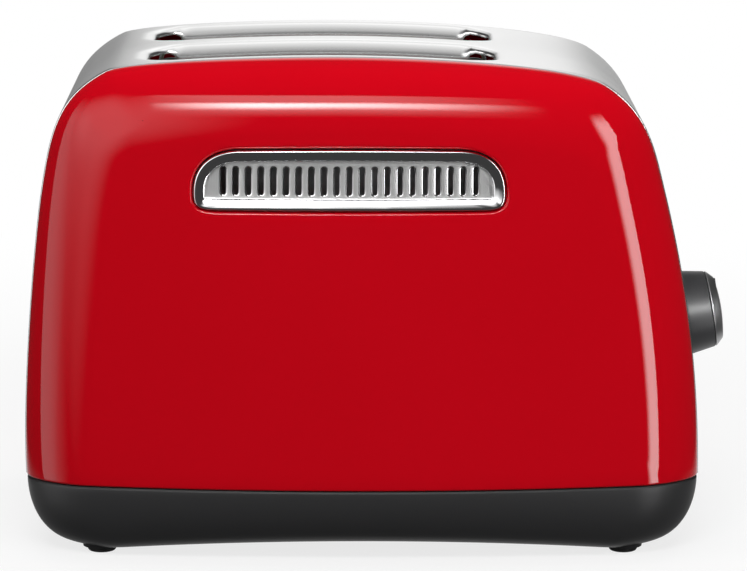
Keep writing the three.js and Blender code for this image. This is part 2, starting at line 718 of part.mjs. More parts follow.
// The base's form, drawn in by its wall for the inside
function baseForm(inset, top, shares) {
  const levels = shares.map((share) => planOutline(baseStep + inset, shares).map((point) => {
    const turn = share * Math.PI / 2;
    const tuck = 1 - Math.cos(turn);
    const x = point.x * (1 - baseTuckEnds * tuck / farReach);
    const y = point.y * (1 - baseTuckFaces * tuck / faceHalfDepth);
    const rim = seamHeight - seamGap;
    return new THREE.Vector3(x, y, rim + (floorAt(x) + inset - rim) * Math.sin(turn));
  }));
  const upper = levels[0].map((point) => new THREE.Vector3(point.x, point.y, top));
  return loftWithStrips([...(top > levels[0][0].z ? [upper] : []), ...levels]);
}

const pillarPlaces = [farPlate + pillarOffset, controlPlate + plateWall + pillarOffset]
  .flatMap((x) => [-1, 1].map((side) => [x, side * pillarPlaceY]));
const footPlaces = [-1, 1].flatMap((end) => [-1, 1].map((side) => [end * footPlaceX, side * footPlaceY]));
const trayOpening = (growth) => block(-farReach - overrun, -farReach + baseTuckEnds,
  -trayFrontHalfWidth - growth, trayFrontHalfWidth + growth, trayFrontLow - growth, trayFrontHigh + growth);
const baseRim = seamHeight - seamGap;

function addBase() {
  const outside = baseForm(0, baseRim, fineShares);
  const inside = baseForm(baseWall, baseRim + overrun, coarseShares);
  const lipOuter = planOutline(shellWall + fit + baseStep, coarseShares);
  const lipInner = planOutline(shellWall + fit + baseStep + baseWall / 2, coarseShares);
  const lipLevels = (ring, low, high) => [high, low].map((z) =>
    ring.map((point) => new THREE.Vector3(point.x, point.y, z)));
  const lip = cut(loftWithStrips(lipLevels(lipOuter, baseRim - baseWall, seamHeight + baseLipHeight)),
    loftWithStrips(lipLevels(lipInner, baseRim - overrun, seamHeight + overrun)));
  const pads = footPlaces.map(([x, y]) =>
    rodZ(footHeight + fit, baseFloorHeight + 2 * baseWall, x, y, padRadius, 20));
  const pillars = pillarPlaces.map(([x, y]) =>
    rodZ(floorAt(x) + baseWall / 2, pillarHeight, x, y, pillarRadius));
  const stemHoles = footPlaces.map(([x, y]) =>
    rodZ(-overrun, footHeight + footStemLength + 2 * fit, x, y, footStemRadius + fit));
  const screwHoles = pillarPlaces.flatMap(([x, y]) => [
    rodZ(-overrun, pillarHeight + overrun, x, y, screwRadius + fit),
    rodZ(-overrun, pillarHeight - screwLength / 2 + fit, x, y, screwHeadRadius + fit),
  ]);
  const vents = [-2, -1, 0, 1, 2].map((step) => {
    const x = rodPlace + bushRadius + step * floorVentPitch;
    return block(x - floorVentWidth / 2, x + floorVentWidth / 2, -shelfHalfWidth, shelfHalfWidth,
      -overrun, pillarHeight);
  });
  const rails = [-1, 1].map((side) => outside.intersect(block(-farReach + baseTuckEnds, controlPlate,
    side * railPlaceY - railWidth / 2, side * railPlaceY + railWidth / 2,
    baseFloorHeight + baseWall / 2, trayRise - fit)));
  const glandHole = rodY(0, faceHalfDepth + overrun, glandPlaceX, glandHeight, glandRadius + fit, 12);
  const tub = cut(join(outside, ...pads), inside);
  addPiece('base_tub', black, cut(join(tub, lip, ...pillars, ...rails),
    ...stemHoles, ...screwHoles, ...vents, trayOpening(fit), glandHole));
  const panel = cut(outside, inside).intersect(trayOpening(0));
  addPiece('crumb_tray_front', black, panel);
}

function addFeet() {
  footPlaces.forEach(([x, y], i) => {
    const foot = turnedZ([
      [0, 0], [0, footRadius - footEdge], [footEdge, footRadius], [footHeight, footRadius],
      [footHeight, footStemRadius], [footHeight + footStemLength, footStemRadius],
      [footHeight + footStemLength, 0],
    ], 16);
    addPiece(`foot_${i + 1}`, rubber, foot).position.set(x, y, 0);
  });
}

function addScrews() {
  const seat = pillarHeight - screwLength / 2;
  pillarPlaces.forEach(([x, y], i) => {
    const screw = turnedZ([
      [-screwHeadHeight, 0], [-screwHeadHeight, screwHeadRadius * crownShare], [0, screwHeadRadius],
      [0, screwRadius], [screwLength, screwRadius], [screwLength, 0],
    ], 12);
    addPiece(`base_screw_${i + 1}`, sheet, screw).position.set(x, y, seat);
  });
}

const guidePlaces = [slotFront, slotBack].flatMap((slotY) => [
  { slotY, y: slotY - guideSpread, name: slotY < 0 ? 'front_outer' : 'back_inner' },
  { slotY, y: slotY + guideSpread, name: slotY < 0 ? 'front_inner' : 'back_outer' },
]);
const heaterPlaces = [['front', -heaterPlace], ['middle', 0], ['back', heaterPlace]];
const heaterTabHeights = [heaterFoot + heaterTab, heaterHead - heaterTab];

// A chassis plate stands on two feet, with ways for the racks, guides and heaters
function chassisPlate(x0) {
  const top = bodyHeight - plateTopDrop;
  const footTop = pillarHeight + fit;
  const [x1, sheetTop] = [x0 + plateWall, footTop + plateWall];
  const archSide = trayHalfWidth + 2 * plateWall;
  const half = [
    [archSide, plateArchHeight], [archSide, footTop], [plateHalfWidth, footTop],
    [plateHalfWidth, top - topRound / 2], [plateHalfWidth - sideRound / 4, top],
  ].map(([y, z]) => new THREE.Vector2(y, z));
  const otherHalf = half.toReversed().map((point) => new THREE.Vector2(-point.x, point.y));
  const plate = solidOf(slabYZ(new THREE.Shape([...half, ...otherHalf]), x0, x1));
  const flanges = [-1, 1].map((side) => {
    const [y0, y1] = [pillarPlaceY - pillarRadius, plateHalfWidth].map((y) => side * y);
    return block(x0, x1 + pillarOffset + pillarRadius, Math.min(y0, y1), Math.max(y0, y1), footTop, sheetTop);
  });
  const through = [x0 - overrun, x1 + overrun];
  const screwHoles = pillarPlaces.map(([x, y]) =>
    rodZ(footTop - overrun / 2, sheetTop + overrun / 2, x, y, screwRadius + fit, 10));
  const rackWays = [slotFront, slotBack].map((y) => block(...through,
    y - rackWall / 2 - 2 * fit, y + rackWall / 2 + 2 * fit,
    rackLow - leverTravel - 2 * fit, rackHeight + 2 * fit));
  const pivots = guidePlaces.map(({ y }) => rodX(...through, y, guidePivotHeight, guideRodRadius + fit, 6));
  const tabWays = heaterPlaces.flatMap(([, y]) => heaterTabHeights.map((z) => block(...through,
    y - heaterWall / 2 - fit, y + heaterWall / 2 + fit, z - heaterTab / 2 - fit, z + heaterTab / 2 + fit)));
  return cut(join(plate, ...flanges), ...screwHoles, ...rackWays, ...pivots, ...tabWays);
}

function addChassis() {
  const face = controlPlate + plateWall;
  const shelf = block(controlPlate, face + shelfLength, -shelfHalfWidth, shelfHalfWidth,
    shelfHeight - plateWall, shelfHeight);
  const topFlange = block(controlPlate, face + topFlangeLength, -topFlangeHalfWidth, topFlangeHalfWidth,
    topFlangeHeight, topFlangeHeight + plateWall);
  const rodHoles = rodZ(shelfHeight - overrun, topFlangeHeight + overrun, rodPlace, 0, rodRadius + fit);
  const holeEnds = join(
    rodHoles.intersect(block(controlPlate, face + shelfLength, -bushRadius, bushRadius, 0, 2 * shelfHeight)),
    rodHoles.intersect(block(controlPlate, face + shelfLength, -bushRadius, bushRadius,
      topFlangeHeight - overrun, topFlangeHeight + overrun)));
  addPiece('chassis_plate_control', sheet,
    cut(join(chassisPlate(controlPlate), shelf, topFlange), holeEnds));
  addPiece('chassis_plate_far', sheet, chassisPlate(farPlate - plateWall));

  for (const [name, side] of [['front', -1], ['back', 1]]) {
    const y = side * shieldPlace;
    addPiece(`heat_shield_${name}`, sheet, block(farPlate + fit, controlPlate - fit,
      y - shieldWall / 2, y + shieldWall / 2, shieldFoot, bodyHeight - plateTopDrop - 2 * lipCurl));
  }
  addPiece('guide_rod', sheet, rodZ(shelfHeight - 2 * plateWall, topFlangeHeight + 2 * plateWall,
    rodPlace, 0, rodRadius));
}

function addHeaters() {
  for (const [name, y] of heaterPlaces) {
    const card = block(farPlate + 2 * fit, controlPlate - 2 * fit,
      y - heaterWall / 2, y + heaterWall / 2, heaterFoot, heaterHead);
    const tabs = heaterTabHeights.map((z) => block(farPlate - 2 * plateWall, controlPlate + 2 * plateWall,
      y - heaterWall / 2, y + heaterWall / 2, z - heaterTab / 2, z + heaterTab / 2));
    const step = (heaterHead - heaterFoot) / (ribbonCount + 1);
    const ribbons = Array.from({ length: ribbonCount }, (_, i) => {
      const z = heaterFoot + (i + 1) * step;
      const reach = heaterWall / 2 + ribbonProud;
      return block(farPlate + chamberMargin, controlPlate - chamberMargin,
        y - reach, y + reach, z - ribbonWidth / 2, z + ribbonWidth / 2);
    });
    addPiece(`heater_${name}`, mica, join(card, ...tabs, ...ribbons));
  }
}

function addBreadGuides() {
  for (const { y, name } of guidePlaces) {
    const pivot = rodX(farPlate - 2 * plateWall, controlPlate + 2 * plateWall, y, guidePivotHeight,
      guideRodRadius, 6);
    const head = rodX(slotCentre - slotLength / 2, slotCentre + slotLength / 2, y, guideHead,
      guideRodRadius, 6);
    const pitch = (slotLength - 2 * guideRodRadius) / (guideWireCount - 1);
    const wires = Array.from({ length: guideWireCount }, (_, i) => rodZ(guidePivotHeight, guideHead,
      slotCentre + (i - (guideWireCount - 1) / 2) * pitch, y, guideWireRadius, 5));
    addPiece(`bread_guide_${name}`, chrome, join(pivot, head, ...wires));
  }
}

function addCarriage() {
  const far = slotCentre - slotLength / 2;
  for (const [name, y] of [['front', slotFront], ['back', slotBack]]) {
    const bar = block(farPlate - 2 * plateWall, carriagePlace + carriageWall,
      y - rackWall / 2, y + rackWall / 2, rackLow, rackHeight);
    const pitch = slotLength / rackFingerCount;
    const fingers = Array.from({ length: rackFingerCount }, (_, i) => {
      const x = far + pitch / 2 + i * pitch;
      return block(x - rackWall / 2, x + rackWall / 2, y - rackFingerReach, y + rackFingerReach,
        rackHeight - rackDepth / 2, rackHeight - fit);
    });
    addPiece(`bread_rack_${name}`, sheet, join(bar, ...fingers));
  }

  const [plateX0, plateX1] = [carriagePlace, carriagePlace + carriageWall];
  const plate = block(plateX0, plateX1, -carriageHalfWidth, carriageHalfWidth,
    carriageLow, carriageLow + carriageHeight);
  const armLow = armatureRise + armatureWall + fit;
  const armHigh = armLow + carriageWall;
  const bush = rodZ(carriageLow, armHigh, rodPlace, 0, bushRadius, 16);
  const web = block(plateX0, rodPlace, -bushRadius / 2, bushRadius / 2, carriageLow, armHigh);
  const arm = block(rodPlace, magnetPlace + magnetDepth / 2, -bushRadius, bushRadius, armLow, armHigh);
  const bore = rodZ(carriageLow - overrun, carriageLow + carriageHeight + overrun, rodPlace, 0,
    rodRadius + fit);
  const rackWays = [slotFront, slotBack].map((y) => block(plateX0 - overrun, plateX1 + overrun,
    y - rackWall / 2 - fit, y + rackWall / 2 + fit, rackLow - fit, rackHeight + fit));
  addPiece('carriage_bracket', sheet, cut(join(plate, bush, web, arm), bore, ...rackWays));

  addPiece('armature_plate', sheet, block(magnetPlace - magnetDepth / 2, magnetPlace + magnetDepth / 2,
    -magnetLegPitch / 2 - magnetLegWidth / 2, magnetLegPitch / 2 + magnetLegWidth / 2,
    armatureRise, armatureRise + armatureWall));
}

function addLever() {
  const armFoot = carriagePlace + carriageWall + fit;
  const [y0, y1] = [leverPlaceY - armWidth / 2, leverPlaceY + armWidth / 2];
  const upright = block(armFoot, armFoot + armDepth, y0, y1,
    leverHeight - armDepth / 2, carriageLow + carriageHeight);
  const bar = block(armFoot, handleFace - handleRound, y0, y1,
    leverHeight - armDepth / 2, leverHeight + armDepth / 2);
  addPiece('lever_arm', sheet, join(upright, bar));

  const face = roundedOutline(handleWidth / 2, handleHeight / 2, handleRound, 2);
  const level = (x, inset) => face.map((point) => new THREE.Vector3(x,
    leverPlaceY + point.x * (1 - inset / handleWidth),
    leverHeight + point.y * (1 - inset / handleHeight)));
  const middle = (x) => new THREE.Vector3(x, leverPlaceY, leverHeight);
  const body = loftWithFans([
    level(handleBack, 2 * handleRound), level(handleBack + handleRound / 2, handleRound / 2),
    level(handleFace - handleRound, 0), level(handleFace, handleRound),
  ], middle(handleBack), middle(handleFace - handleRound / 4));
  const pocket = block(handleBack - overrun, handleFace - handleRound + fit, y0 - fit, y1 + fit,
    leverHeight - armDepth / 2 - fit, leverHeight + armDepth / 2 + fit);
  addPiece('lever_handle', gloss, cut(body, pocket));

  const trim = outlineStrip(-bezelProud, bezelDepth,
    leverPlaceY - bezelHalfWidth, leverPlaceY + bezelHalfWidth)
    .intersect(block(0, nearReach + overrun, 0, bandHalfWidth, bezelLow, bezelHigh));
  const way = block(0, nearReach + overrun, y0 - armClearance, y1 + armClearance,
    leverHeight - leverTravel - armDepth / 2 - armClearance, leverHeight + armDepth / 2 + armClearance);
  addPiece('lever_slot_bezel', black, cut(trim, way));
}

// One unbroken compression spring between the shelf and the carriage
function addLiftSpring() {
  const [low, high] = [shelfHeight + fit + springWire, carriageLow - fit - springWire];
  const stepsPerCurl = 8;
  const sides = 5;
  const steps = springCurls * stepsPerCurl;
  const middleAt = (share) => new THREE.Vector3(
    rodPlace + springRadius * Math.cos(share * springCurls * 2 * Math.PI),
    springRadius * Math.sin(share * springCurls * 2 * Math.PI), low + (high - low) * share);
  const rings = Array.from({ length: steps + 1 }, (_, i) => {
    const middle = middleAt(i / steps);
    const outward = new THREE.Vector3(middle.x - rodPlace, middle.y, 0).normalize();
    return Array.from({ length: sides }, (__, k) => {
      const turn = k * 2 * Math.PI / sides;
      return middle.clone().addScaledVector(outward, springWire * Math.cos(turn))
        .add(new THREE.Vector3(0, 0, springWire * Math.sin(turn)));
    });
  });
  const pitch = (high - low) / springCurls;
  console.log(`lift spring: least gap between curls ${(pitch - 2 * springWire).toFixed(2)} mm`);
  addPiece('lift_spring', sheet, loftWithFans(rings, middleAt(0), middleAt(1)));
}

function addDial() {
  const group = wallGroup(dialHeight, dialPlaceY);
  const front = dialLift + dialSkirtDepth;
  const inner = front - dialWall;
  const innerRadius = dialFrontRadius - dialWall;
  const boreRadius = shaftRadius + fit;
  const knob = turnedX([
    [front, 0], [front, dialFrontRadius], [dialLift, dialBaseRadius], [dialLift, dialBaseRadius - dialWall],
    [inner, innerRadius], [inner, dialHubRadius], [dialLift, dialHubRadius], [dialLift, boreRadius],
    [inner - dialWall, boreRadius], [inner - dialWall, 0],
  ], 24);
  addPiece('dial_knob', gloss, knob, group);

  const capBack = front + fit;
  const capFront = capBack + capDepth;
  const cap = turnedX([
    [capBack, 0], [capBack, dialFrontRadius], [capFront, capFaceRadius],
    [capFront + capDome * domeShare, capFaceRadius / 2], [capFront + capDome, 0],
  ], 24);
  const pointer = block(capFront - pointerDepth, capFront + overrun, -pointerWidth / 2, pointerWidth / 2,
    capFaceRadius - pointerLength, dialFrontRadius);
  addPiece('dial_cap', brushed, cut(cap, pointer), group);

  const potFace = -bandWall - potClearance;
  const potBack = fit - boardSetback;
  const shaftEnd = (potFace + potBack) / 2;
  const shaft = rodX(shaftEnd, inner - dialWall - fit, 0, 0, shaftRadius, 16);
  const flat = block(dialLift, front, -shaftRadius, shaftRadius, shaftFlat, 2 * shaftRadius);
  addPiece('dial_shaft', sheet, cut(shaft, flat), group);

  const body = block(potBack, potFace, -potWidth / 2, potWidth / 2, -potWidth / 2, potWidth / 2);
  const bush = rodX(shaftEnd, dialLift - fit, 0, 0, potBushRadius, 16);
  const bore = rodX(shaftEnd - fit, overrun, 0, 0, shaftRadius + fit, 16);
  addPiece('dial_potentiometer', sheet, cut(join(body, bush), bore), group);
}

function addButtons() {
  ['cancel', 'defrost', 'reheat'].forEach((name, i) => {
    const group = wallGroup(buttonHeight, buttonPlaces[i]);
    const back = -bandWall - buttonTravel / 2;
    const flangeRadius = buttonRadius + buttonFlange;
    addPiece(`button_${name}`, gloss, turnedX([
      [buttonProud, 0], [buttonProud - fit, buttonRadius * crownShare], [buttonProud - 2 * fit, buttonRadius],
      [back, buttonRadius], [back, flangeRadius], [back - buttonFlangeWall, flangeRadius],
      [back - buttonFlangeWall, buttonStemRadius],
      [back - buttonFlangeWall - buttonStemLength, buttonStemRadius],
      [back - buttonFlangeWall - buttonStemLength, 0],
    ], 12), group);
  });
  const group = wallGroup(lensHeight, dialPlaceY);
  const seat = -bandWall - fit;
  addPiece('indicator_lens', amber, turnedX([
    [fit, 0], [0, lensRadius], [seat, lensRadius], [seat, lensRadius + lensFlange],
    [seat - lensFlange, lensRadius + lensFlange], [seat - lensFlange, lensRadius],
    [-lensLength, lensRadius], [-lensLength, 0],
  ], 12), group);
}

// The circuit board stands parallel to the band behind the dial
function addCircuitBoard() {
  const group = wallGroup(dialHeight, 0);
  const face = -boardSetback;
  const [low, high] = [boardLow - dialHeight, boardHigh - dialHeight];
  const board = block(face - boardWall, face, boardFront, boardBack, low, high);
  const switches = buttonPlaces.map((y) => {
    const z = buttonHeight - dialHeight;
    return block(face - boardWall / 2, face + buttonTravel, y - buttonRadius / 2, y + buttonRadius / 2,
      z - buttonRadius / 2, z + buttonRadius / 2);
  });
  addPiece('circuit_board', green, join(board, ...switches), group);
  const relayX = face - boardWall - fit;
  addPiece('relay', pale, block(relayX - relaySize[0], relayX, relayPlaceY - relaySize[1] / 2,
    relayPlaceY + relaySize[1] / 2, relayRise, relayRise + relaySize[2]), group);

  const wall = endWallAt(dialHeight);
  const padFace = face - boardWall - fit;
  const pad = geometryOf(block(padFace - boardBracketWall, padFace,
    boardFront, boardFront + boardBracketHeight, -boardBracketHeight / 2, boardBracketHeight / 2));
  const [z0, z1] = [dialHeight - boardBracketHeight / 2, dialHeight + boardBracketHeight / 2];
  const start = controlPlate + plateWall + fit;
  const rail = block(start, wall.x + padFace - boardBracketWall,
    boardFront, boardFront + boardBracketWall, z0, z1);
  const flange = block(start, start + boardBracketWall,
    boardFront, boardFront + boardBracketHeight, z0, z1);
  const seated = solidOf(pad.rotateY(-wall.lean).translate(wall.x, 0, dialHeight));
  addPiece('board_bracket', sheet, join(rail, flange, seated));
}

function addMagnetAndSwitch() {
  const top = shelfHeight + magnetHeight;
  const [x0, x1] = [magnetPlace - magnetDepth / 2, magnetPlace + magnetDepth / 2];
  const foot = shelfHeight + fit;
  const legs = [-1, 1].map((side) => {
    const y = side * magnetLegPitch / 2;
    return block(x0, x1, y - magnetLegWidth / 2, y + magnetLegWidth / 2, foot, top);
  });
  const span = magnetLegPitch / 2 + magnetLegWidth / 2;
  const yoke = block(x0, x1, -span, span, foot, foot + magnetLegWidth);
  addPiece('magnet_core', sheet, join(yoke, ...legs));

  const coilY = magnetLegPitch / 2;
  const legReach = magnetLegWidth / 2 + fit;
  const [coilLow, coilHigh] = [foot + magnetLegWidth + fit, top - magnetLegWidth];
  const coil = block(x0 - fit - coilWall, x1 + fit + coilWall, coilY - legReach - coilWall,
    coilY + legReach + coilWall, coilLow, coilHigh);
  const core = block(x0 - fit, x1 + fit, coilY - legReach, coilY + legReach,
    coilLow - overrun, coilHigh + overrun);
  addPiece('magnet_coil', copper, cut(coil, core));

  const switchX = rodPlace - bushRadius + fit;
  const switchY = -shelfHalfWidth + fit;
  addPiece('main_switch', black, block(switchX, switchX + switchSize[0],
    switchY, switchY + switchSize[1], shelfHeight + fit, shelfHeight + fit + switchSize[2]));
}

function addCrumbTray() {
  const end = controlPlate - trayEndGap;
  const front = -farReach + trayFrontGap;
  const top = trayRise + trayHeight;
  const pan = cut(
    block(front, end, -trayHalfWidth, trayHalfWidth, trayRise, top),
    block(front + trayWall, end - trayWall, -trayHalfWidth + trayWall, trayHalfWidth - trayWall,
      trayRise + trayWall, top + overrun));
  addPiece('crumb_tray', sheet, pan);
}

function addMains() {
  const x0 = glandPlaceX - terminalSize[0] / 2;
  const foot = floorAt(x0) + baseWall + fit;
  addPiece('terminal_block', pale, block(x0, x0 + terminalSize[0],
    shelfHalfWidth, shelfHalfWidth + terminalSize[1], foot, foot + terminalSize[2]));
  const end = faceAt(glandPlaceX, seamHeight);
  const [y0, y1] = [end - glandLength, end];
  const flange = rodY(y0, y0 + glandFlangeWall, glandPlaceX, glandHeight, glandRadius + glandFlange, 12);
  const tube = rodY(y0, y1, glandPlaceX, glandHeight, glandRadius, 12);
  const bore = rodY(y0 - overrun, y1 + overrun, glandPlaceX, glandHeight, glandBore, 12);
  addPiece('cord_gland', black, cut(join(flange, tube), bore));
}

addTopBand();
addSideShells();
addBase();
addFeet();
addScrews();
addChassis();
addHeaters();
addBreadGuides();
addCarriage();
addLever();
addLiftSpring();
addDial();
addButtons();
addCircuitBoard();
addMagnetAndSwitch();
addCrumbTray();
addMains();

// The origin is on the table, under the middle of the overall length with lever and dial
const overall = new THREE.Box3().setFromObject(toaster, true);
toaster.position.x = -(overall.min.x + overall.max.x) / 2;

export default toaster;
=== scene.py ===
# %% [markdown]
# # Electric toaster
#
# The solids of this toaster were made and packed as CAD: they say where every piece is and how it
# moves. This lesson dresses them. Each cell models one piece more finely than the solids have it,
# gives it a finish, and lets it ride on the body that it belongs to.

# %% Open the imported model
import json
import math

import bmesh
import bpy
import numpy as np
from mathutils import Matrix, Quaternion, Vector
from mathutils.geometry import interpolate_bezier


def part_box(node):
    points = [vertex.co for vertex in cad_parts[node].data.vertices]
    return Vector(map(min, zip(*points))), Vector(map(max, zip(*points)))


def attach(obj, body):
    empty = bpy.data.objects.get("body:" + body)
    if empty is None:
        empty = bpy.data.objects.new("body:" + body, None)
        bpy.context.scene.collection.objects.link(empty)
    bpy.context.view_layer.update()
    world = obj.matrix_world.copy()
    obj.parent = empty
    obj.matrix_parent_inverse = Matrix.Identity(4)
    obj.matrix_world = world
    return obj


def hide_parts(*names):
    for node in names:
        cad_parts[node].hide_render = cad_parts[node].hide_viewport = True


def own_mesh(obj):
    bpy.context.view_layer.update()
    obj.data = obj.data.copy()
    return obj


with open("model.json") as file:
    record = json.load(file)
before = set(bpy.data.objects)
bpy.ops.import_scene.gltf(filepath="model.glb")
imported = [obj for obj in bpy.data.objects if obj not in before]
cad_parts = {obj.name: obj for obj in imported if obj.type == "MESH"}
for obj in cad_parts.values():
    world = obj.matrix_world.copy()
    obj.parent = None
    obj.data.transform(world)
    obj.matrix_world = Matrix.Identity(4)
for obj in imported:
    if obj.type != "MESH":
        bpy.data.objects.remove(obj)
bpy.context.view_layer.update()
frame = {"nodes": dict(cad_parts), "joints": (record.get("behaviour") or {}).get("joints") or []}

# %% [markdown]
# ## Shader sums in plain Python
#
# A Blender material is a graph of nodes, and even a small sum takes three of them. One could add
# each node by hand, but the recipe is then hard to read. Instead a socket is wrapped in a class
# with its own plus, minus and times, so that `0.3 + 0.2 * grain` builds the Math nodes itself. A
# second class holds a node tree and makes every other node through one method. Materials, lamps and
# the world are all such trees.

# %% Wrap a socket
class Value:
    """A shader socket that takes part in sums."""

    def __init__(self, finish, socket):
        self.finish, self.socket = finish, socket

    def _sum(self, operation, first, second):
        return self.finish.node("ShaderNodeMath", {"operation": operation}, {0: first, 1: second})

    def __add__(self, other):
        return self._sum("ADD", self, other)

    def __sub__(self, other):
        return self._sum("SUBTRACT", self, other)

    def __rsub__(self, other):
        return self._sum("SUBTRACT", other, self)

    def __mul__(self, other):
        return self._sum("MULTIPLY", self, other)

    def __gt__(self, other):
        return self._sum("GREATER_THAN", self, other)

    __radd__, __rmul__ = __add__, __mul__


# %% Hold a tree of nodes
class Recipe:
    """A node tree, and the shader at its end that everything feeds."""

    def __init__(self, tree, shader):
        self.tree, self.shader = tree, tree.nodes[shader]

    def node(self, kind, settings, sockets, output=0):
        node = self.tree.nodes.new(kind)
        for key, value in settings.items():
            setattr(node, key, value)
        for key, value in sockets.items():
            if isinstance(value, Value):
                self.tree.links.new(value.socket, node.inputs[key])
            else:
                node.inputs[key].default_value = value
        return Value(self, node.outputs[output])

    def parts(self, vector, axes):
        return [self.node("ShaderNodeSeparateXYZ", {}, {"Vector": vector}, axis) for axis in axes]

    def between(self, mask, first, second):
        """One colour where the mask is 0 and another where it is 1: inputs 6 and 7 hold them."""
        return self.node("ShaderNodeMix", {"data_type": "RGBA"}, {
            "Factor": mask, 6: (*first, 1), 7: (*second, 1)}, 2)

    def feed(self, socket, value):
        self.tree.links.new(value.socket, self.shader.inputs[socket])


# %% Start a material
class Finish(Recipe):
    """One material, built round the Principled shader."""

    def __init__(self, name, **constants):
        self.material = bpy.data.materials.new(name)
        self.material.use_nodes = True
        super().__init__(self.material.node_tree, "Principled BSDF")
        for key, value in constants.items():
            self.shader.inputs[key.replace("_", " ")].default_value = value

    def here(self):
        return self.node("ShaderNodeTexCoord", {}, {}, "Object")

    def place(self, scale=(1, 1, 1)):
        return self.node("ShaderNodeMapping", {}, {"Vector": self.here(), "Scale": scale})

    def noise(self, scale, size=1.0, detail=2.0, roughness=0.5):
        return self.node("ShaderNodeTexNoise", {}, {
            "Vector": self.place(scale), "Scale": size, "Detail": detail, "Roughness": roughness})

    def bump(self, height, distance):
        self.feed("Normal", self.node("ShaderNodeBump", {}, {
            "Height": height, "Distance": distance, "Strength": 1.0}))


MM = 0.001
WELD = 1e-4
print("one unit of the sizes below is", MM, "m, and corners nearer than", WELD, "units are welded")

# %% [markdown]
# ## The red enamel
#
# The side shells are steel under a thick gloss enamel. The pigment is a deep red that the eye reads
# as one colour, so a flat colour would do from afar, but close by enamel has a faint waviness from
# the way it flowed in the oven, and a clear top layer that mirrors the room. A coat over a slightly
# rough red gives the mirror, and a very low bump gives the flow.

# %% Enamel
enamel = Finish("red_enamel", Roughness=0.5, Coat_Weight=1.0, Coat_Roughness=0.02, Coat_IOR=1.42,
                Specular_IOR_Level=0.0)
flow = enamel.noise((1, 1, 1), 210, 2)
cloud = enamel.noise((1, 1, 1), 14, 3)
enamel.feed("Base Color", enamel.between(cloud, (0.55, 0.0006, 0.0065), (0.585, 0.0008, 0.0085)))
enamel.bump(flow, 0.00002)
print("enamel made")

# %% [markdown]
# ## Brushed and polished metal
#
# Brushed steel is scratched in one direction. The scratches are far finer than a pixel, so what one
# sees is a highlight drawn out across them and faint streaks along them. Noise that is stretched
# along the brushing direction feeds the roughness and a tiny bump. The band is brushed lengthways
# and turns down over the ends, so its noise is stretched along both X and Z. Sheet metal inside is
# duller, with zinc spangle. Chrome is nearly a mirror with a trace of haze.

# %% Metals
def brushed(name, scale, tint, roughness, spread, depth):
    finish = Finish(name, Metallic=1.0, Anisotropic=0.35)
    streak = finish.noise(scale, 1.0, 3, 0.6)
    broad = finish.noise(tuple(s * 0.12 for s in scale), 1.0, 2)
    finish.feed("Base Color", finish.between(streak, tuple(c * 0.9 for c in tint), tint))
    finish.feed("Roughness", roughness - spread + 1.2 * spread * streak + 0.8 * spread * broad)
    finish.bump(streak, depth)
    return finish


band_steel = brushed("brushed_steel_band", (6, 2600, 6), (0.86, 0.86, 0.855), 0.22, 0.06, 0.000006)
plate_steel = brushed("brushed_steel_grille", (2200, 2200, 8), (0.90, 0.90, 0.895), 0.44, 0.07, 0.000004)
cap_steel = brushed("brushed_steel_cap", (2400, 12, 12), (0.52, 0.52, 0.525), 0.36, 0.06, 0.000006)

chrome = Finish("polished_chrome", Base_Color=(0.80, 0.80, 0.81, 1), Metallic=1.0)
chrome.feed("Roughness", 0.05 + 0.05 * chrome.noise((1, 1, 1), 90, 3))
wire_chrome = Finish("wire_plating", Base_Color=(0.66, 0.66, 0.67, 1), Metallic=1.0)
wire_chrome.feed("Roughness", 0.16 + 0.14 * wire_chrome.noise((1, 1, 1), 300, 2))

sheet = Finish("zinc_sheet", Metallic=1.0)
spangle = sheet.node("ShaderNodeTexVoronoi", {}, {"Vector": sheet.place(), "Scale": 160.0}, "Color")
grey = sheet.node("ShaderNodeSeparateColor", {}, {"Color": spangle})
sheet.feed("Base Color", sheet.between(grey, (0.42, 0.43, 0.44), (0.52, 0.53, 0.54)))
sheet.feed("Roughness", 0.36 + 0.16 * grey)
print("metals made")

# %% [markdown]
# ## Plastics, rubber and the electrical finishes
#
# The base is moulded in black plastic with a fine satin grain: dark grey rather than black, since
# the grain scatters some light. The dial's skirt and the lever are smoother. The heater cards are
# mineral sheet with a flat metal ribbon wound round them. The ribbon stands proud of the sheet, so
# the distance from the card's middle tells the two apart.

# %% Plastics, rubber and mineral sheet
RIBBON_FROM = 0.8  # what lies further than this from a card's middle is ribbon


def moulded(name, colour, roughness, grain, depth):
    finish = Finish(name, Base_Color=(*colour, 1), Specular_IOR_Level=0.42)
    speck = finish.noise((1, 1, 1), grain, 2)
    finish.feed("Roughness", roughness - 0.05 + 0.10 * speck)
    finish.feed("Base Color", finish.between(speck, tuple(c * 0.88 for c in colour),
                                             tuple(c * 1.12 for c in colour)))
    finish.bump(speck, depth)
    return finish


black_base = moulded("black_satin_moulding", (0.029, 0.029, 0.030), 0.46, 2600, 0.00003)
black_smooth = moulded("black_smooth_moulding", (0.018, 0.018, 0.019), 0.42, 1800, 0.000008)
rubber = moulded("black_rubber", (0.012, 0.012, 0.012), 0.78, 1500, 0.00004)
cream = moulded("cream_moulding", (0.62, 0.60, 0.52), 0.45, 1200, 0.00001)
lacquer = moulded("green_board_lacquer", (0.02, 0.13, 0.05), 0.34, 900, 0.00001)
amber = Finish("amber_lens", Base_Color=(0.75, 0.24, 0.02, 1), Coat_Weight=0.6)
amber.feed("Roughness", 0.12 + 0.1 * amber.noise((1, 1, 1), 700, 2))

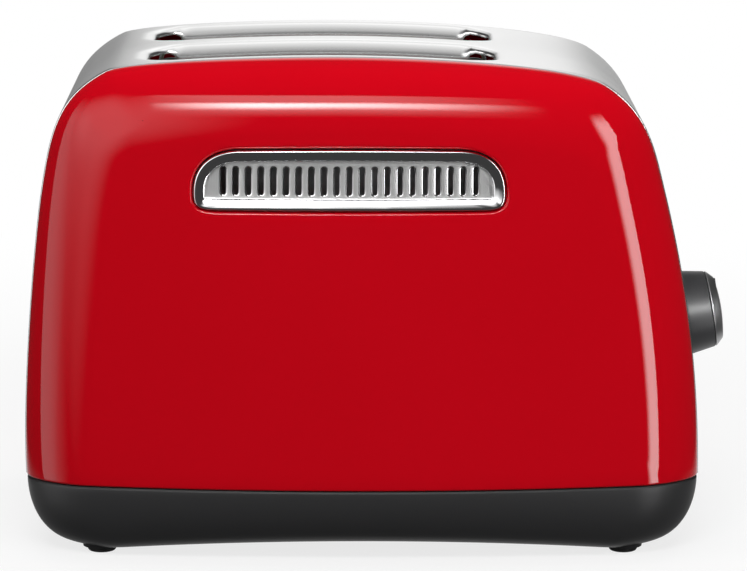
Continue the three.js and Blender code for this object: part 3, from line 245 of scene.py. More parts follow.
winding = Finish("copper_winding", Metallic=0.85)
turns = winding.node("ShaderNodeTexWave", {"bands_direction": "Z"}, {
    "Vector": winding.place(), "Scale": 420.0, "Distortion": 0.4})
# the colour is painted shade and painted sheen: darker in the grooves between the turns and lighter on their
# crests, over one copper
winding.feed("Base Color", winding.between(turns, (0.28, 0.09, 0.03), (0.62, 0.25, 0.09)))
winding.feed("Roughness", 0.42 - 0.12 * turns)
winding.bump(turns, 0.0002)


def heater_card(name, middle):
    finish = Finish(name)
    across, = finish.parts(finish.here(), "Y")
    away = finish.node("ShaderNodeMath", {"operation": "ABSOLUTE"}, {0: across - middle})
    ribbon = away > RIBBON_FROM * MM
    flake = finish.noise((1, 1, 1), 120, 4)
    card = finish.between(flake, (0.30, 0.25, 0.17), (0.42, 0.37, 0.27))
    finish.feed("Base Color", finish.node("ShaderNodeMix", {"data_type": "RGBA"}, {
        "Factor": ribbon, 6: card, 7: (0.32, 0.27, 0.22, 1)}, 2))
    finish.feed("Metallic", 0.9 * ribbon)
    finish.feed("Roughness", 0.72 - 0.30 * ribbon + 0.08 * flake)
    return finish


print("plastics and electrical finishes made")

# %% [markdown]
# ## The outline
#
# Seen from the front, the housing is one smooth arch of six cubic curves: a wall that leans in, a
# round shoulder and a gently crowned top, for each end. All the big pieces follow that arch, so it
# is worked out once, as a dense list of places with the direction that points inwards at each.

# %% Lay out the arch
SEAM, CROWN = 32.5, 209.2
FAR_REACH, NEAR_REACH, CROWN_PLACE = 141.6, 141.3, -14
BAND_HALF, FACE_HALF, FACE_BOW, FACE_LEAN = 59.5, 92.5, 14.0, 0.05
TOP_ROUND, SIDE_ROUND = 33.0, 28.0
CURVE_STEPS = 120  # places along each of the six curves
LEVEL_UNTIL = 25  # over this height the inward direction goes from level, at the seam, to square
feet = [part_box(f"foot_{i}") for i in (1, 2, 3, 4)]
SHIFT = sum((lo.x + hi.x) / 2 for lo, hi in feet) / len(feet) / MM
TO_FRAME = Matrix.Scale(MM, 4) @ Matrix.Translation((SHIFT, 0, 0))

far_shares = [(1, 0), (1.01, 0.203), (0.965, 0.57), (0.945, 0.6715), (0.9135, 0.836),
              (0.8875, 0.907), (0.747, 0.967), (0.6985, 0.9877), (0.3525, 1)]
near_shares = [(1, 0), (0.996, 0.246), (0.96, 0.4455), (0.894, 0.66), (0.8555, 0.779),
               (0.8425, 0.866), (0.704, 0.935), (0.606, 0.9796), (0.1865, 1)]


def arch_half(shares, reach):
    points = [Vector((reach * across, SEAM + (CROWN - SEAM) * up)) for across, up in shares]
    points.append(Vector((CROWN_PLACE, CROWN)))
    half = []
    for start in (0, 3, 6):
        half += interpolate_bezier(*points[start:start + 4], CURVE_STEPS)[:-1]
    return half + [points[-1]]


arch = arch_half(far_shares, -FAR_REACH) + arch_half(near_shares, NEAR_REACH)[::-1][1:]
PX, PZ = (np.array([p[k] for p in arch]) for k in (0, 1))
steps = np.hypot(np.diff(PX), np.diff(PZ))
PS = np.concatenate([[0], np.cumsum(steps)])
ARCH_LENGTH = PS[-1]
NX, NZ = np.gradient(PZ, PS), -np.gradient(PX, PS)
NZ *= np.clip((PZ - SEAM) / LEVEL_UNTIL, 0, 1)
length = np.hypot(NX, NZ)
NX, NZ = NX / length, NZ / length
DX, DZ = SIDE_ROUND * NX, TOP_ROUND * NZ
top = PZ > 0.9 * CROWN
print("arch length, mm:", round(ARCH_LENGTH, 1), "shift of the row frame, mm:", round(SHIFT, 3))


def arch_at(s):
    """Place and inward direction at a length along the arch."""
    return [float(np.interp(s, PS, values)) for values in (PX, PZ, NX, NZ)]


def crown_at(x):
    return float(np.interp(x, PX[top], PZ[top]))


def arch_at_height(z, near=True):
    """Length along the arch at which an end wall is this high."""
    half = (PX > CROWN_PLACE) if near else (PX < CROWN_PLACE)
    order = np.argsort(PZ[half])
    return float(np.interp(z, PZ[half][order], PS[half][order]))


def face_at(x, z):
    return FACE_HALF - FACE_LEAN * (z - SEAM) - FACE_BOW * (x / FAR_REACH) ** 2


def shell_depth(x, z):
    """Half depth of the housing at a place seen from the front, rounded edges included."""
    cross = (x - PX) * DZ - (z - PZ) * DX
    turn = np.nonzero(cross[:-1] * cross[1:] <= 0)[0]
    reach = ((x - PX[turn]) * DX[turn] + (z - PZ[turn]) * DZ[turn]) / (DX[turn] ** 2 + DZ[turn] ** 2)
    reach = reach[reach > -0.05]
    share = min(1.0, max(0.0, float(reach.min()))) if len(reach) else 1.0
    return BAND_HALF + (face_at(x, z) - BAND_HALF) * math.sqrt(1 - (1 - share) ** 2)


# %% [markdown]
# ## Helpers for curved sheets
#
# Nearly every visible piece here is a curved sheet with rolled edges. A bmesh grid is the natural
# start: it has tidy rows, and moving each of its corners to a place on the curve gives even
# quads that shade smoothly. Sheets that share an edge are made with the same places along it and
# are welded afterwards. A second helper welds a finished bmesh, makes it a piece of its body and says
# how many faces it has and where it lies.

# %% Helpers for sheets and finished pieces
def add_sheet(bm, across, along, place):
    """A grid whose corners go to place(i, j), with i across and j along."""
    made = bmesh.ops.create_grid(bm, x_segments=across, y_segments=along, size=0.5)["verts"]
    for corner in made:
        i, j = round((corner.co.x + 0.5) * across), round((corner.co.y + 0.5) * along)
        corner.co = place(i, j)
    return made


def settle(bm, name, finish, body, nodes=(), sharp=40, in_frame=False):
    """Welds, turns faces outwards, and hands the piece to its body."""
    bmesh.ops.remove_doubles(bm, verts=bm.verts, dist=WELD)
    bmesh.ops.recalc_face_normals(bm, faces=bm.faces)
    if not in_frame:
        bm.transform(TO_FRAME)
    mesh = bpy.data.meshes.new(name)
    bm.to_mesh(mesh)
    bm.free()
    mesh.shade_smooth()
    mesh.set_sharp_from_angle(angle=math.radians(sharp))
    mesh.materials.append(finish.material)
    piece = bpy.data.objects.new(name, mesh)
    bpy.context.scene.collection.objects.link(piece)
    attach(piece, body)
    if nodes:
        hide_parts(*nodes)
    low = [round(min(v.co[k] for v in mesh.vertices), 4) for k in range(3)]
    high = [round(max(v.co[k] for v in mesh.vertices), 4) for k in range(3)]
    print(f"{name}: {len(mesh.polygons)} faces, {low} to {high}")
    return piece


# %% [markdown]
# ## The vent's outline
#
# The vent is a long rounded trapezoid: a flat foot with tight corners and shoulders that sweep up
# to a slightly crowned top. Its rim, its plate and the opening in the shell are the same line at
# different distances, so the line comes first.

# %% Draw the vent's line
VENT_X, VENT_Z, VENT_WIDE, VENT_HIGH = -5.7, 161.5, 127.6, 25.1
RIM_WIDE = 4.9
vent_corner = [(0.87, -1), (0.99, -1), (1, -0.8), (1, -0.38)]
vent_shoulder = [(1, -0.38), (1, 0.25), (0.93, 0.9), (0.72, 0.96)]


def vent_line():
    def curve(shares):
        return interpolate_bezier(*[Vector((a * VENT_WIDE / 2, u * VENT_HIGH / 2)) for a, u in shares], 40)
    half = [Vector((x, -VENT_HIGH / 2)) for x in np.linspace(0, 0.87 * VENT_WIDE / 2, 40, endpoint=False)]
    half += curve(vent_corner)[:-1] + curve(vent_shoulder)
    end = half[-1]
    # the top edge rises a little more towards the middle
    rise = VENT_HIGH / 2 - end.y
    half += [Vector((end.x * (1 - t), end.y + rise * (1 - (1 - t) ** 2))) for t in np.linspace(0, 1, 41)[1:]]
    return half + [Vector((-p.x, p.y)) for p in half[-2:0:-1]]


line = vent_line()
VX, VZ = (np.array([p[k] for p in line]) for k in (0, 1))
tangent_x = np.roll(VX, -1) - np.roll(VX, 1)
tangent_z = np.roll(VZ, -1) - np.roll(VZ, 1)
norm = np.hypot(tangent_x, tangent_z)
OUT_X, OUT_Z = tangent_z / norm, -tangent_x / norm


def vent_ring(angles, growth):
    """Places on the grown line, met by rays from the vent's middle."""
    x, z = VX + OUT_X * growth, VZ + OUT_Z * growth
    around = np.arctan2(z, x)
    order = np.argsort(around)
    reach = np.interp(angles, around[order], np.hypot(x, z)[order], period=2 * math.pi)
    return VENT_X + reach * np.cos(angles), VENT_Z + reach * np.sin(angles)


print("vent line:", len(line), "places,", round(float(VX.max() - VX.min()), 1), "mm wide")

# %% [markdown]
# ## The side shells
#
# Each shell is one pressing: a face that bows outwards in plan and leans in slightly, with big soft
# edges that run up one end, over the top and down the other. It could be a box with a wide bevel,
# but the edge is not a circle arc and the shoulders would pinch. Here rings run round the face from
# the vent's opening outwards, so the quads follow the form and the reflections stay calm. The edge
# beside the band, the foot and the vent's opening are all rolled inwards as on pressed sheet.

# %% Find the shell's soft edge
ARC, FOOT, RADIAL, EDGE, ROLL = 168, 72, 30, 20, 5  # how many places along each part
BAND_GAP, EDGE_ROLL = 0.3, 1.1
EDGE_STEP = 0.45  # the shell's edge lies this far under the band's
MIDDLE_TURN = math.radians(62)  # where the face's rings meet the edge's rows
FOOT_Z = SEAM + EDGE_ROLL
arc_places = np.linspace(arch_at_height(FOOT_Z, near=False), arch_at_height(FOOT_Z), ARC + 1)


def edge_ring(i, turn):
    """A place on the shell's rounded edge, i along the arch and turn from band to face."""
    x, z, nx, nz = arch_at(arc_places[i])
    swing = 1 - math.cos(turn)
    under = EDGE_STEP * max(0.0, 1 - turn / 0.5) ** 2
    x, z = x + nx * (SIDE_ROUND * swing + under), z + nz * (TOP_ROUND * swing + under)
    return Vector((x, BAND_HALF + (face_at(x, z) - BAND_HALF) * math.sin(turn), z))


def face_outline():
    """Up one end of the face, over the top, down the other and back along the foot."""
    outline = [edge_ring(i, MIDDLE_TURN) for i in range(ARC + 1)]
    near, far = outline[-1], outline[0]
    for k in range(1, FOOT):
        x = near.lerp(far, k / FOOT).x
        outline.append(Vector((x, shell_depth(x, FOOT_Z), FOOT_Z)))
    return outline + outline[:1]


face_edge = face_outline()
print("places round the face:", len(face_edge))

# %% Lay rings on the face, from the vent's opening outwards
VENT_ROLL, VENT_GAP, VENT_LIP = 1.7, 0.45, 6.0
face_angles = np.array([math.atan2(p.z - VENT_Z, p.x - VENT_X) for p in face_edge])
rolls = [(VENT_GAP, VENT_LIP), (VENT_GAP, VENT_ROLL)]
for k in range(1, ROLL + 1):
    turn = math.pi / 2 * (1 - k / ROLL)
    rolls.append((VENT_GAP + VENT_ROLL * (1 - math.sin(turn)), VENT_ROLL * (1 - math.cos(turn))))
vent_rings = [(vent_ring(face_angles, growth), depth) for growth, depth in rolls]


def face_place(i, j):
    if j < len(vent_rings):
        (xs, zs), depth = vent_rings[j]
        return Vector((xs[i], shell_depth(xs[i], zs[i]) - depth, zs[i]))
    share = (j - len(vent_rings) + 1) / (RADIAL - len(vent_rings) + 1)
    (xs, zs), _ = vent_rings[-1]
    x, z = xs[i] + (face_edge[i].x - xs[i]) * share, zs[i] + (face_edge[i].z - zs[i]) * share
    return face_edge[i].copy() if share == 1 else Vector((x, shell_depth(x, z), z))


print("rings on the face:", RADIAL, "of which in the vent's rolled edge:", len(vent_rings))


# %% Roll the edge beside the band
def start_turn(i):
    return math.asin((BAND_GAP + EDGE_ROLL) / (edge_ring(i, math.pi / 2).y - BAND_HALF))


def edge_place(i, j):
    if j <= EDGE:
        return edge_ring(i, MIDDLE_TURN + (start_turn(i) - MIDDLE_TURN) * (j / EDGE))
    base, (_, _, nx, nz) = edge_ring(i, start_turn(i)), arch_at(arc_places[i])
    roll = math.pi / 2 * min(1, (j - EDGE) / ROLL)
    inset = EDGE_ROLL * (1 - math.cos(roll)) + (3 if j == EDGE + ROLL + 1 else 0)
    return Vector((base.x + nx * inset, base.y - EDGE_ROLL * math.sin(roll), base.z + nz * inset))


print("the edge starts", round(math.degrees(start_turn(ARC // 2)), 1), "degrees into its round")

# %% Roll the foot, from the band at one end round the face to the band at the other
FOOT_STEP, FOOT_RISE = 1.2, 5.0  # the foot turns in this far, and back up
foot = [edge_place(0, j) for j in range(EDGE + ROLL, -1, -1)] + face_edge[:1]
foot += face_edge[ARC + FOOT - 1:ARC - 1:-1]
foot += [edge_place(ARC, j) for j in range(EDGE + ROLL + 1)]
foot_line = [foot[0]]
for point in foot[1:]:
    if (point - foot_line[-1]).length > 1e-3:
        foot_line.append(point)
inward = []
for before, after in zip(foot_line[:1] + foot_line, foot_line[1:] + foot_line[-1:]):
    along = (after - before).normalized()
    inward.append(Vector((along.y, -along.x, 0)).normalized())
if inward[len(inward) // 2].y > 0:
    inward = [-v for v in inward]


def foot_place(i, j):
    roll = math.pi / 2 * min(1, j / ROLL)
    inset = EDGE_ROLL * (1 - math.cos(roll)) + (0, FOOT_STEP, FOOT_STEP)[max(0, j - ROLL)]
    drop = EDGE_ROLL * math.sin(roll) - (FOOT_RISE if j == ROLL + 2 else 0)
    return foot_line[i] + inward[i] * inset - Vector((0, 0, drop))


print("places along the foot:", len(foot_line))

# %% Press both shells
# the shoulders, where the rings crowd together, and how far round them they are eased
CROWDED = [((-100.6, 73.6, 191.2), 12.0), ((92.3, 76.5, 183.2), 12.0)]
EASE_ROUNDS = 14


def shell(side, name):
    """Presses the back shell (side 1), or its mirror image in front (side -1)."""
    bm = bmesh.new()

    def facing(place):
        return lambda i, j: Vector((1, side, 1)) * place(i, j)

    add_sheet(bm, ARC + FOOT, RADIAL, facing(face_place))
    add_sheet(bm, ARC, EDGE + ROLL + 1, facing(edge_place))
    bmesh.ops.remove_doubles(bm, verts=bm.verts, dist=WELD)
    for (x, y, z), reach in CROWDED:
        near = [v for v in bm.verts if (v.co - Vector((x, side * y, z))).length < reach]
        for _ in range(EASE_ROUNDS):
            bmesh.ops.smooth_vert(bm, verts=near, factor=0.5, use_axis_x=True, use_axis_y=True,
                                  use_axis_z=True)
    add_sheet(bm, len(foot_line) - 1, ROLL + 2, facing(foot_place))
    return settle(bm, f"enamelled_shell_{name}", enamel, "housing", [f"side_shell_{name}"], 60)


shell(-1, "front")
shell(1, "back")

# %% [markdown]
# ## The vent
#
# The rim is a chromed frame with a crest round its outside and a broad bevel that falls to the
# plate. The plate is brushed and pierced by 21 upright slots with round ends. A texture with
# transparency would be cheaper, but the slots have a thickness that catches light on one side, so
# each slot is cut as a ring of quads that runs from its own share of the plate into the hole.

# %% Draw the rim's section
def soften(profile, radius, steps=4):
    """Rounds the inner corners of a profile."""
    rounded = [profile[0]]
    for before, corner, after in zip(profile, profile[1:], profile[2:]):
        here, back, on = (Vector(p) for p in (corner, before, after))
        cut = min(radius, (back - here).length * 0.45, (on - here).length * 0.45)
        start, end = here + (back - here).normalized() * cut, here + (on - here).normalized() * cut
        for k in range(steps + 1):
            t = k / steps
            rounded.append(tuple(start.lerp(here, t).lerp(here.lerp(end, t), t)))
    return rounded + [profile[-1]]


# how far inside the vent's line, and how deep under the face
rim_profile = soften([(0.15, 3.2), (0.0, 0.4), (0.35, -0.75), (1.0, -0.85), (2.8, -0.22), (4.3, 0.40),
                      (4.7, 0.85), (4.9, 3.3)], 0.4, 5)
print("the rim's section has", len(rim_profile), "places")

# %% Make the rims
RIM_STEPS = 260
turns = np.unwrap([math.atan2(z, x) for x, z in zip(VX, VZ)])
spaced = np.interp(np.linspace(0, len(VX), RIM_STEPS + 1), np.arange(len(VX) + 1),
                   np.append(turns, turns[0] + 2 * math.pi))
rim_rings = [(vent_ring(spaced, -inset), depth) for inset, depth in rim_profile]


def seat(side, x, z, depth):
    """A place this deep under the face, in front (side -1) or at the back (side 1)."""
    return Vector((x, side * (face_at(x, z) - depth), z))


def vent_rim(side, name):
    def rim_place(i, j):
        (xs, zs), depth = rim_rings[j]
        return seat(side, xs[i], zs[i], depth)
    bm = bmesh.new()
    add_sheet(bm, RIM_STEPS, len(rim_rings) - 1, rim_place)
    settle(bm, f"chromed_vent_rim_{name}", chrome, "housing", [f"vent_rim_{name}"], 50)


print("places round the rim:", RIM_STEPS)

# %% Draw one slot of the plate, and its share of plate
SLOTS, SLOT_PITCH, SLOT_WIDE, SLOT_HIGH, SLOT_DROP = 21, 5.16, 2.1, 11.6, 0.8
SLOT_MARGIN = 0.9  # plate above and below each slot, in its own share
PLATE_DEPTH, PLATE_WALL, DISH = 2.5, 1.1, 0.50


def slot_ring(x, growth):
    """22 places round a slot, starting at the middle of its right side."""
    radius, straight = SLOT_WIDE / 2 + growth, SLOT_HIGH / 2 - SLOT_WIDE / 2
    z = VENT_Z - SLOT_DROP
    right = [(x + radius, z + straight * t) for t in (0, 0.5)]
    half_turn = np.linspace(0, math.pi, 8)
    arc = [(x + radius * math.cos(a), z + straight + radius * math.sin(a)) for a in half_turn]
    left = [(x - radius, z + straight * t) for t in (0.5, 0, -0.5)]
    foot = [(x - radius * math.cos(a), z - straight - radius * math.sin(a)) for a in half_turn]
    return right + arc + left + foot + [(x + radius, z - straight * 0.5)]


def cell_ring(x):
    """The share of plate round a slot, with as many places."""
    wide, high, z = SLOT_PITCH / 2, SLOT_HIGH / 2 + SLOT_MARGIN, VENT_Z - SLOT_DROP
    straight = SLOT_HIGH / 2 - SLOT_WIDE / 2
    right = [(x + wide, z + straight * t) for t in (0, 0.5, 1)]
    across = [(x + wide * t, z + high) for t in (1, 0.6, 0.2, -0.2, -0.6, -1)]
    left = [(x - wide, z + straight * t) for t in (1, 0.5, 0, -0.5, -1)]
    back = [(x + wide * t, z - high) for t in (-1, -0.6, -0.2, 0.2, 0.6, 1)]
    return right + across + left + back + [(x + wide, z - straight * t) for t in (1, 0.5)]


slot_rows = [(cell_ring, 0.0), (lambda x: slot_ring(x, DISH), 0.0),
             (lambda x: slot_ring(x, 0.2 * DISH), 0.34 * DISH),
             (lambda x: slot_ring(x, 0), DISH), (lambda x: slot_ring(x, 0), PLATE_WALL)]
print("each slot has", len(cell_ring(0)), "places in", len(slot_rows), "rows")

# %% Draw the border between the slots and the rim
first = VENT_X - SLOT_PITCH * (SLOTS - 1) / 2
middle = VENT_Z - SLOT_DROP
wide, high = SLOT_PITCH * SLOTS / 2, SLOT_HIGH / 2 + SLOT_MARGIN
columns = [first + (k + t / 2) * SLOT_PITCH for k in range(SLOTS) for t in (-1, -0.6, -0.2, 0.2, 0.6)]
columns.append(first + (SLOTS - 0.5) * SLOT_PITCH)
sides = [middle + (SLOT_HIGH / 2 - SLOT_WIDE / 2) * t for t in (-1, -0.5, 0, 0.5, 1)]
block = [(VENT_X + wide, z) for z in sides] + [(x, middle + high) for x in columns[::-1]]
block += [(VENT_X - wide, z) for z in sides[::-1]] + [(x, middle - high) for x in columns]
block.append(block[0])
border_x, border_z = vent_ring(np.array([math.atan2(z - VENT_Z, x - VENT_X) for x, z in block]),
                               -RIM_WIDE + 0.8)
print("places round the block of slots:", len(block))


# %% Pierce the plates
def pierced_plate(side, name):
    bm = bmesh.new()
    for k in range(SLOTS):
        rows = [(ring(first + k * SLOT_PITCH), depth) for ring, depth in slot_rows]

        def slot_place(i, j):
            ring, depth = rows[j]
            return seat(side, *ring[i % len(ring)], PLATE_DEPTH + depth)
        add_sheet(bm, len(rows[0][0]), len(rows) - 1, slot_place)

    def border_place(i, j):
        t = j / 4
        x, z = block[i][0] + (border_x[i] - block[i][0]) * t, block[i][1] + (border_z[i] - block[i][1]) * t
        return seat(side, x, z, PLATE_DEPTH)

    add_sheet(bm, len(block) - 1, 4, border_place)
    # the slots' soft edges are polished
    for face in bm.faces:
        spot = face.calc_center_median()
        sunk = face_at(spot.x, spot.z) - side * spot.y - PLATE_DEPTH
        face.material_index = int(0.01 < sunk < DISH)
    nodes = [f"vent_grille_{name}"]
    plate = settle(bm, f"pierced_plate_{name}", plate_steel, "housing", nodes, 25)
    plate.data.materials.append(chrome.material)


for side, name in ((-1, "front"), (1, "back")):
    vent_rim(side, name)
    pierced_plate(side, name)

# %% [markdown]
# ## The steel band
#
# One long strip of brushed steel is bent over the top and down both ends. Two bread slots are
# pressed through it, and the metal rolls down round each in a smooth lip. The roll is what makes it
# look like pressed sheet, so each slot gets rings of quads that run from its share of the flat
# strip, over a quarter circle, and down into the opening. The lever's way is a plain opening, so
# there the sheet is cut with bisecting planes and its edges are turned inwards.

# %% Draw rings round a bread slot
SLOT_X, SLOT_LONG, BREAD_WIDE, BREAD_PITCH, SLOT_CORNER = -17.0, 145.0, 40.0, 62.0, 14.0
LIP_CURL, LIP_DROP, LIP_DEPTH, BAND_ROLL, BAND_TURN = 6.5, 5.3, 7.5, 0.7, 1.4
LIP_FULL, LIP_FADE, LIP_LOSS = 60.5, 3.5, 0.6  # the lip is whole this far out, and then loses a share
LEVER_Y, LEVER_Z, LEVER_TRAVEL = 25.0, 83.5, 42.0
BAND_EDGE = BAND_HALF - BAND_ROLL
LEG, SHORT, LONG, LIP_STEPS = 5, 4, 44, 8
CELL = SLOT_LONG / 2 + LIP_CURL + 6
long_half, short_half = SLOT_LONG / 2 - SLOT_CORNER, BREAD_WIDE / 2 - SLOT_CORNER
long_shares, short_shares = (np.linspace(0, 1, count + 1)[1:-1] for count in (LONG, SHORT))
CORNERS = ((1, 1), (-1, 1), (-1, -1), (1, -1))


def bread_ring(slot_y, growth):
    """Places round a bread slot, from the middle part of its near end."""
    radius = SLOT_CORNER + growth
    ring = []
    for quarter in range(4):
        sx, sy = CORNERS[quarter]
        cx, cy = sx * long_half, sy * short_half
        start = quarter * math.pi / 2
        ring += [(cx + radius * math.cos(start + a), cy + radius * math.sin(start + a))
                 for a in np.linspace(0, math.pi / 2, 2 * LEG + 1)]
        if quarter % 2 == 0:
            ring += [(cx - 2 * sx * long_half * t, cy + sy * radius) for t in long_shares]
        else:
            ring += [(cx + sx * radius, cy - 2 * sy * short_half * t) for t in short_shares]
    return [(SLOT_X + x, slot_y + y) for x, y in ring + ring[:1]]


def cell_edge(slot_y, low, high):
    """The rectangle of strip round a slot, with as many places."""
    ring = []
    for quarter in range(4):
        sx, sy = CORNERS[quarter]
        edge_y = (high if sy > 0 else low) - slot_y
        cx, cy = sx * long_half, sy * short_half
        down = [(sx * CELL, cy + (edge_y - cy) * t / LEG) for t in range(LEG + 1)]
        over = [(sx * CELL + (cx - sx * CELL) * t / LEG, edge_y) for t in range(1, LEG + 1)]
        corner = down + over
        ring += corner if quarter % 2 == 0 else corner[::-1]
        if quarter % 2 == 0:
            ring += [(cx - 2 * sx * long_half * t, edge_y) for t in long_shares]
        else:
            ring += [(sx * CELL, cy - 2 * sy * short_half * t) for t in short_shares]
    return [(SLOT_X + x, slot_y + y) for x, y in ring + ring[:1]]


def band_rows(slot_y, low, high):
    """Rings from the rectangle over the lip and down, each with its depth."""
    edge, start = cell_edge(slot_y, low, high), bread_ring(slot_y, LIP_CURL)
    rows = [([(a + (c - a) * t, b + (d - b) * t) for (a, b), (c, d) in zip(edge, start)], 0.0)
            for t in (0, 0.34, 0.67)]
    for k in range(LIP_STEPS + 1):
        turn = math.pi / 2 * k / LIP_STEPS
        ring = bread_ring(slot_y, LIP_CURL * (1 - math.sin(turn)))
        rows.append((ring, LIP_DROP * (1 - math.cos(turn))))
    return rows + [(rows[-1][0], LIP_DEPTH)]


def lip_share(x):
    """The lip is drawn less deep round the ends of a slot."""
    t = min(1.0, max(0.0, (abs(x - SLOT_X) - LIP_FULL) / LIP_FADE))
    return 1 - LIP_LOSS * t * t * (3 - 2 * t)


print("places round a bread slot:", len(bread_ring(0, 0)))

# %% Helpers for a plain opening
WINDOW_MARGIN = 14.0  # how far round an opening its sheet is cut


def window(bm, low, high, inward):
    """Cuts a box-shaped opening and turns its edges inwards."""
    for axis in range(3):
        for limit in (low[axis], high[axis]):
            if limit is None:
                continue
            near = [f for f in bm.faces if in_box(f.calc_center_median(), low, high, WINDOW_MARGIN)]
            geometry = near + list({e for f in near for e in f.edges})
            geometry += list({v for f in near for v in f.verts})
            normal = Vector([float(k == axis) for k in range(3)])
            bmesh.ops.bisect_plane(bm, geom=geometry, dist=WELD, plane_co=normal * limit, plane_no=normal)
    inside = [f for f in bm.faces if in_box(f.calc_center_median(), low, high, 0)]
    rim = {e for f in inside for e in f.edges if any(g not in inside for g in e.link_faces)}
    bmesh.ops.delete(bm, geom=inside, context="FACES")
    drawn = bmesh.ops.extrude_edge_only(bm, edges=list(rim))["geom"]
    bmesh.ops.translate(bm, vec=inward, verts=[v for v in drawn if isinstance(v, bmesh.types.BMVert)])


def in_box(point, low, high, margin):
    return all((low[k] is None or point[k] > low[k] - margin)
               and (high[k] is None or point[k] < high[k] + margin) for k in range(3))


# %% Bend the band and press its slots
FAR_STEPS, NEAR_STEPS = 70, 84  # rows from the seam to the bread slots, at either end
WAY_HALF, WAY_LOW, WAY_HIGH = 6.6, 36.4, 89.6  # the lever's opening
bm = bmesh.new()
cells = [(-BREAD_PITCH / 2, -BAND_EDGE, 0.0), (BREAD_PITCH / 2, 0.0, BAND_EDGE)]
for slot_y, low, high in cells:
    rows = band_rows(slot_y, low, high)

    def lip_place(i, j):
        (x, y), depth = rows[j][0][i], rows[j][1]
        return Vector((x, y, crown_at(x) - depth * lip_share(x)))
    add_sheet(bm, len(rows[0][0]) - 1, len(rows) - 1, lip_place)

strip_y = sorted({round(y, 4) for cell in cells for x, y in cell_edge(*cell) if x > SLOT_X + CELL - 0.01})
cell_x = sorted({round(x, 4) for x, y in cell_edge(*cells[0]) if y > -0.01})
far_cell, near_cell = (float(np.interp(x, PX[top], PS[top])) for x in (cell_x[0], cell_x[-1]))
far_s = list(np.linspace(0, far_cell, FAR_STEPS))
near_s = list(np.linspace(near_cell, ARCH_LENGTH, NEAR_STEPS))


def strip(places):
    def on_arch(i, j):
        x, z, _, _ = arch_at(places[i])
        return Vector((x, strip_y[j], z))
    add_sheet(bm, len(places) - 1, len(strip_y) - 1, on_arch)


strip(far_s)
strip(near_s)
cell_s = [float(np.interp(x, PX[top], PS[top])) for x in cell_x]
whole_s = far_s[:-1] + cell_s + near_s[1:]
for side in (-1, 1):
    def selvage_place(i, j):
        x, z, nx, nz = arch_at(whole_s[i])
        roll = math.pi / 2 * min(1, j / ROLL)
        inset = BAND_ROLL * (1 - math.cos(roll)) + (BAND_TURN if j > ROLL else 0)
        return Vector((x + nx * inset, side * (BAND_EDGE + BAND_ROLL * math.sin(roll)), z + nz * inset))
    add_sheet(bm, len(whole_s) - 1, ROLL + 1, selvage_place)
bmesh.ops.remove_doubles(bm, verts=bm.verts, dist=20 * WELD)
window(bm, (NEAR_REACH - 20, LEVER_Y - WAY_HALF, WAY_LOW), (None, LEVER_Y + WAY_HALF, WAY_HIGH),
       inward=(-3, 0, 0))
settle(bm, "brushed_band", band_steel, "housing", ["top_band"], 45)

# %% [markdown]
# ## The base
#
# The base is a shallow black tub. Its walls start just inside the shells, run down in a quarter
# ellipse and turn under to an arched floor, so that the toaster seems to float a little. The packed
# solid already has the floor with its air slots, screw wells and foot pads, so a merged copy of it
# keeps those, and a smooth outer skin goes over its walls.

# %% Draw the base's outline
BASE_STEP, TUCK_ENDS, TUCK_FACES, SEAM_GAP = 0.6, 20.0, 14.0, 0.5
FLOOR, ARCH_RISE, ARCH_REACH = 2.6, 5.3, 105.8
RIM = SEAM - SEAM_GAP
QUARTER_STEPS, FACE_PLACES, END_PLACES = 20, 60, 28


def floor_at(x):
    return FLOOR + ARCH_RISE * max(0.0, 1 - (x / ARCH_REACH) ** 2)


def plan_line(inset):
    """The housing's outline at the seam, closed, seen from above."""
    quarter = [math.pi / 2 * k / QUARTER_STEPS for k in range(QUARTER_STEPS + 1)]

    def place(x, share):
        return x, BAND_HALF + (face_at(x, SEAM) - BAND_HALF) * share
    near = [place(NEAR_REACH - SIDE_ROUND * (1 - math.cos(a)), math.sin(a)) for a in quarter]
    far = [place(-FAR_REACH + SIDE_ROUND * (1 - math.cos(a)), math.sin(a)) for a in quarter[::-1]]
    face = [place(x, 1) for x in np.linspace(near[-1][0], far[0][0], FACE_PLACES)[1:-1]]
    end = [(NEAR_REACH, y) for y in np.linspace(-BAND_HALF, BAND_HALF, END_PLACES)[1:-1]]
    back = near + face + far
    other = [(-FAR_REACH, -y) for x, y in end]
    ring = end + back + other + [(x, -y) for x, y in back[::-1]]
    shrink_x, shrink_y = 1 - inset / NEAR_REACH, 1 - inset / FACE_HALF
    ring = [(x * shrink_x, y * shrink_y) for x, y in ring]
    return ring + ring[:1]


def base_place(ring, i, turn):
    x, y = ring[i]
    tuck = 1 - math.cos(turn)
    x, y = x * (1 - TUCK_ENDS * tuck / FAR_REACH), y * (1 - TUCK_FACES * tuck / FACE_HALF)
    return Vector((x, y, RIM + (floor_at(x) - RIM) * math.sin(turn)))


print("the floor is", round(floor_at(0), 1), "mm up in the middle and", FLOOR, "at the ends")

# %% Mould the base's skin
bm = bmesh.new()
LIP_ROUND, LIP_WIDE, LIP_ROWS, WALL_ROWS, WALL_START = 0.9, 3.0, 5, 22, 0.022
outer, lip, inner = (plan_line(BASE_STEP + inset) for inset in (0, LIP_ROUND, LIP_WIDE))


def tub_place(i, j):
    if j == 0:
        return Vector((*inner[i], RIM))
    if j <= LIP_ROWS:
        turn = math.pi / 2 * (j - 1) / (LIP_ROWS - 1)
        x = lip[i][0] + (outer[i][0] - lip[i][0]) * math.sin(turn)
        y = lip[i][1] + (outer[i][1] - lip[i][1]) * math.sin(turn)
        return Vector((x, y, RIM - LIP_ROUND * (1 - math.cos(turn))))
    turn = math.pi / 2 * (WALL_START + (1 - WALL_START) * (j - LIP_ROWS) / WALL_ROWS)
    return base_place(outer, i, turn)


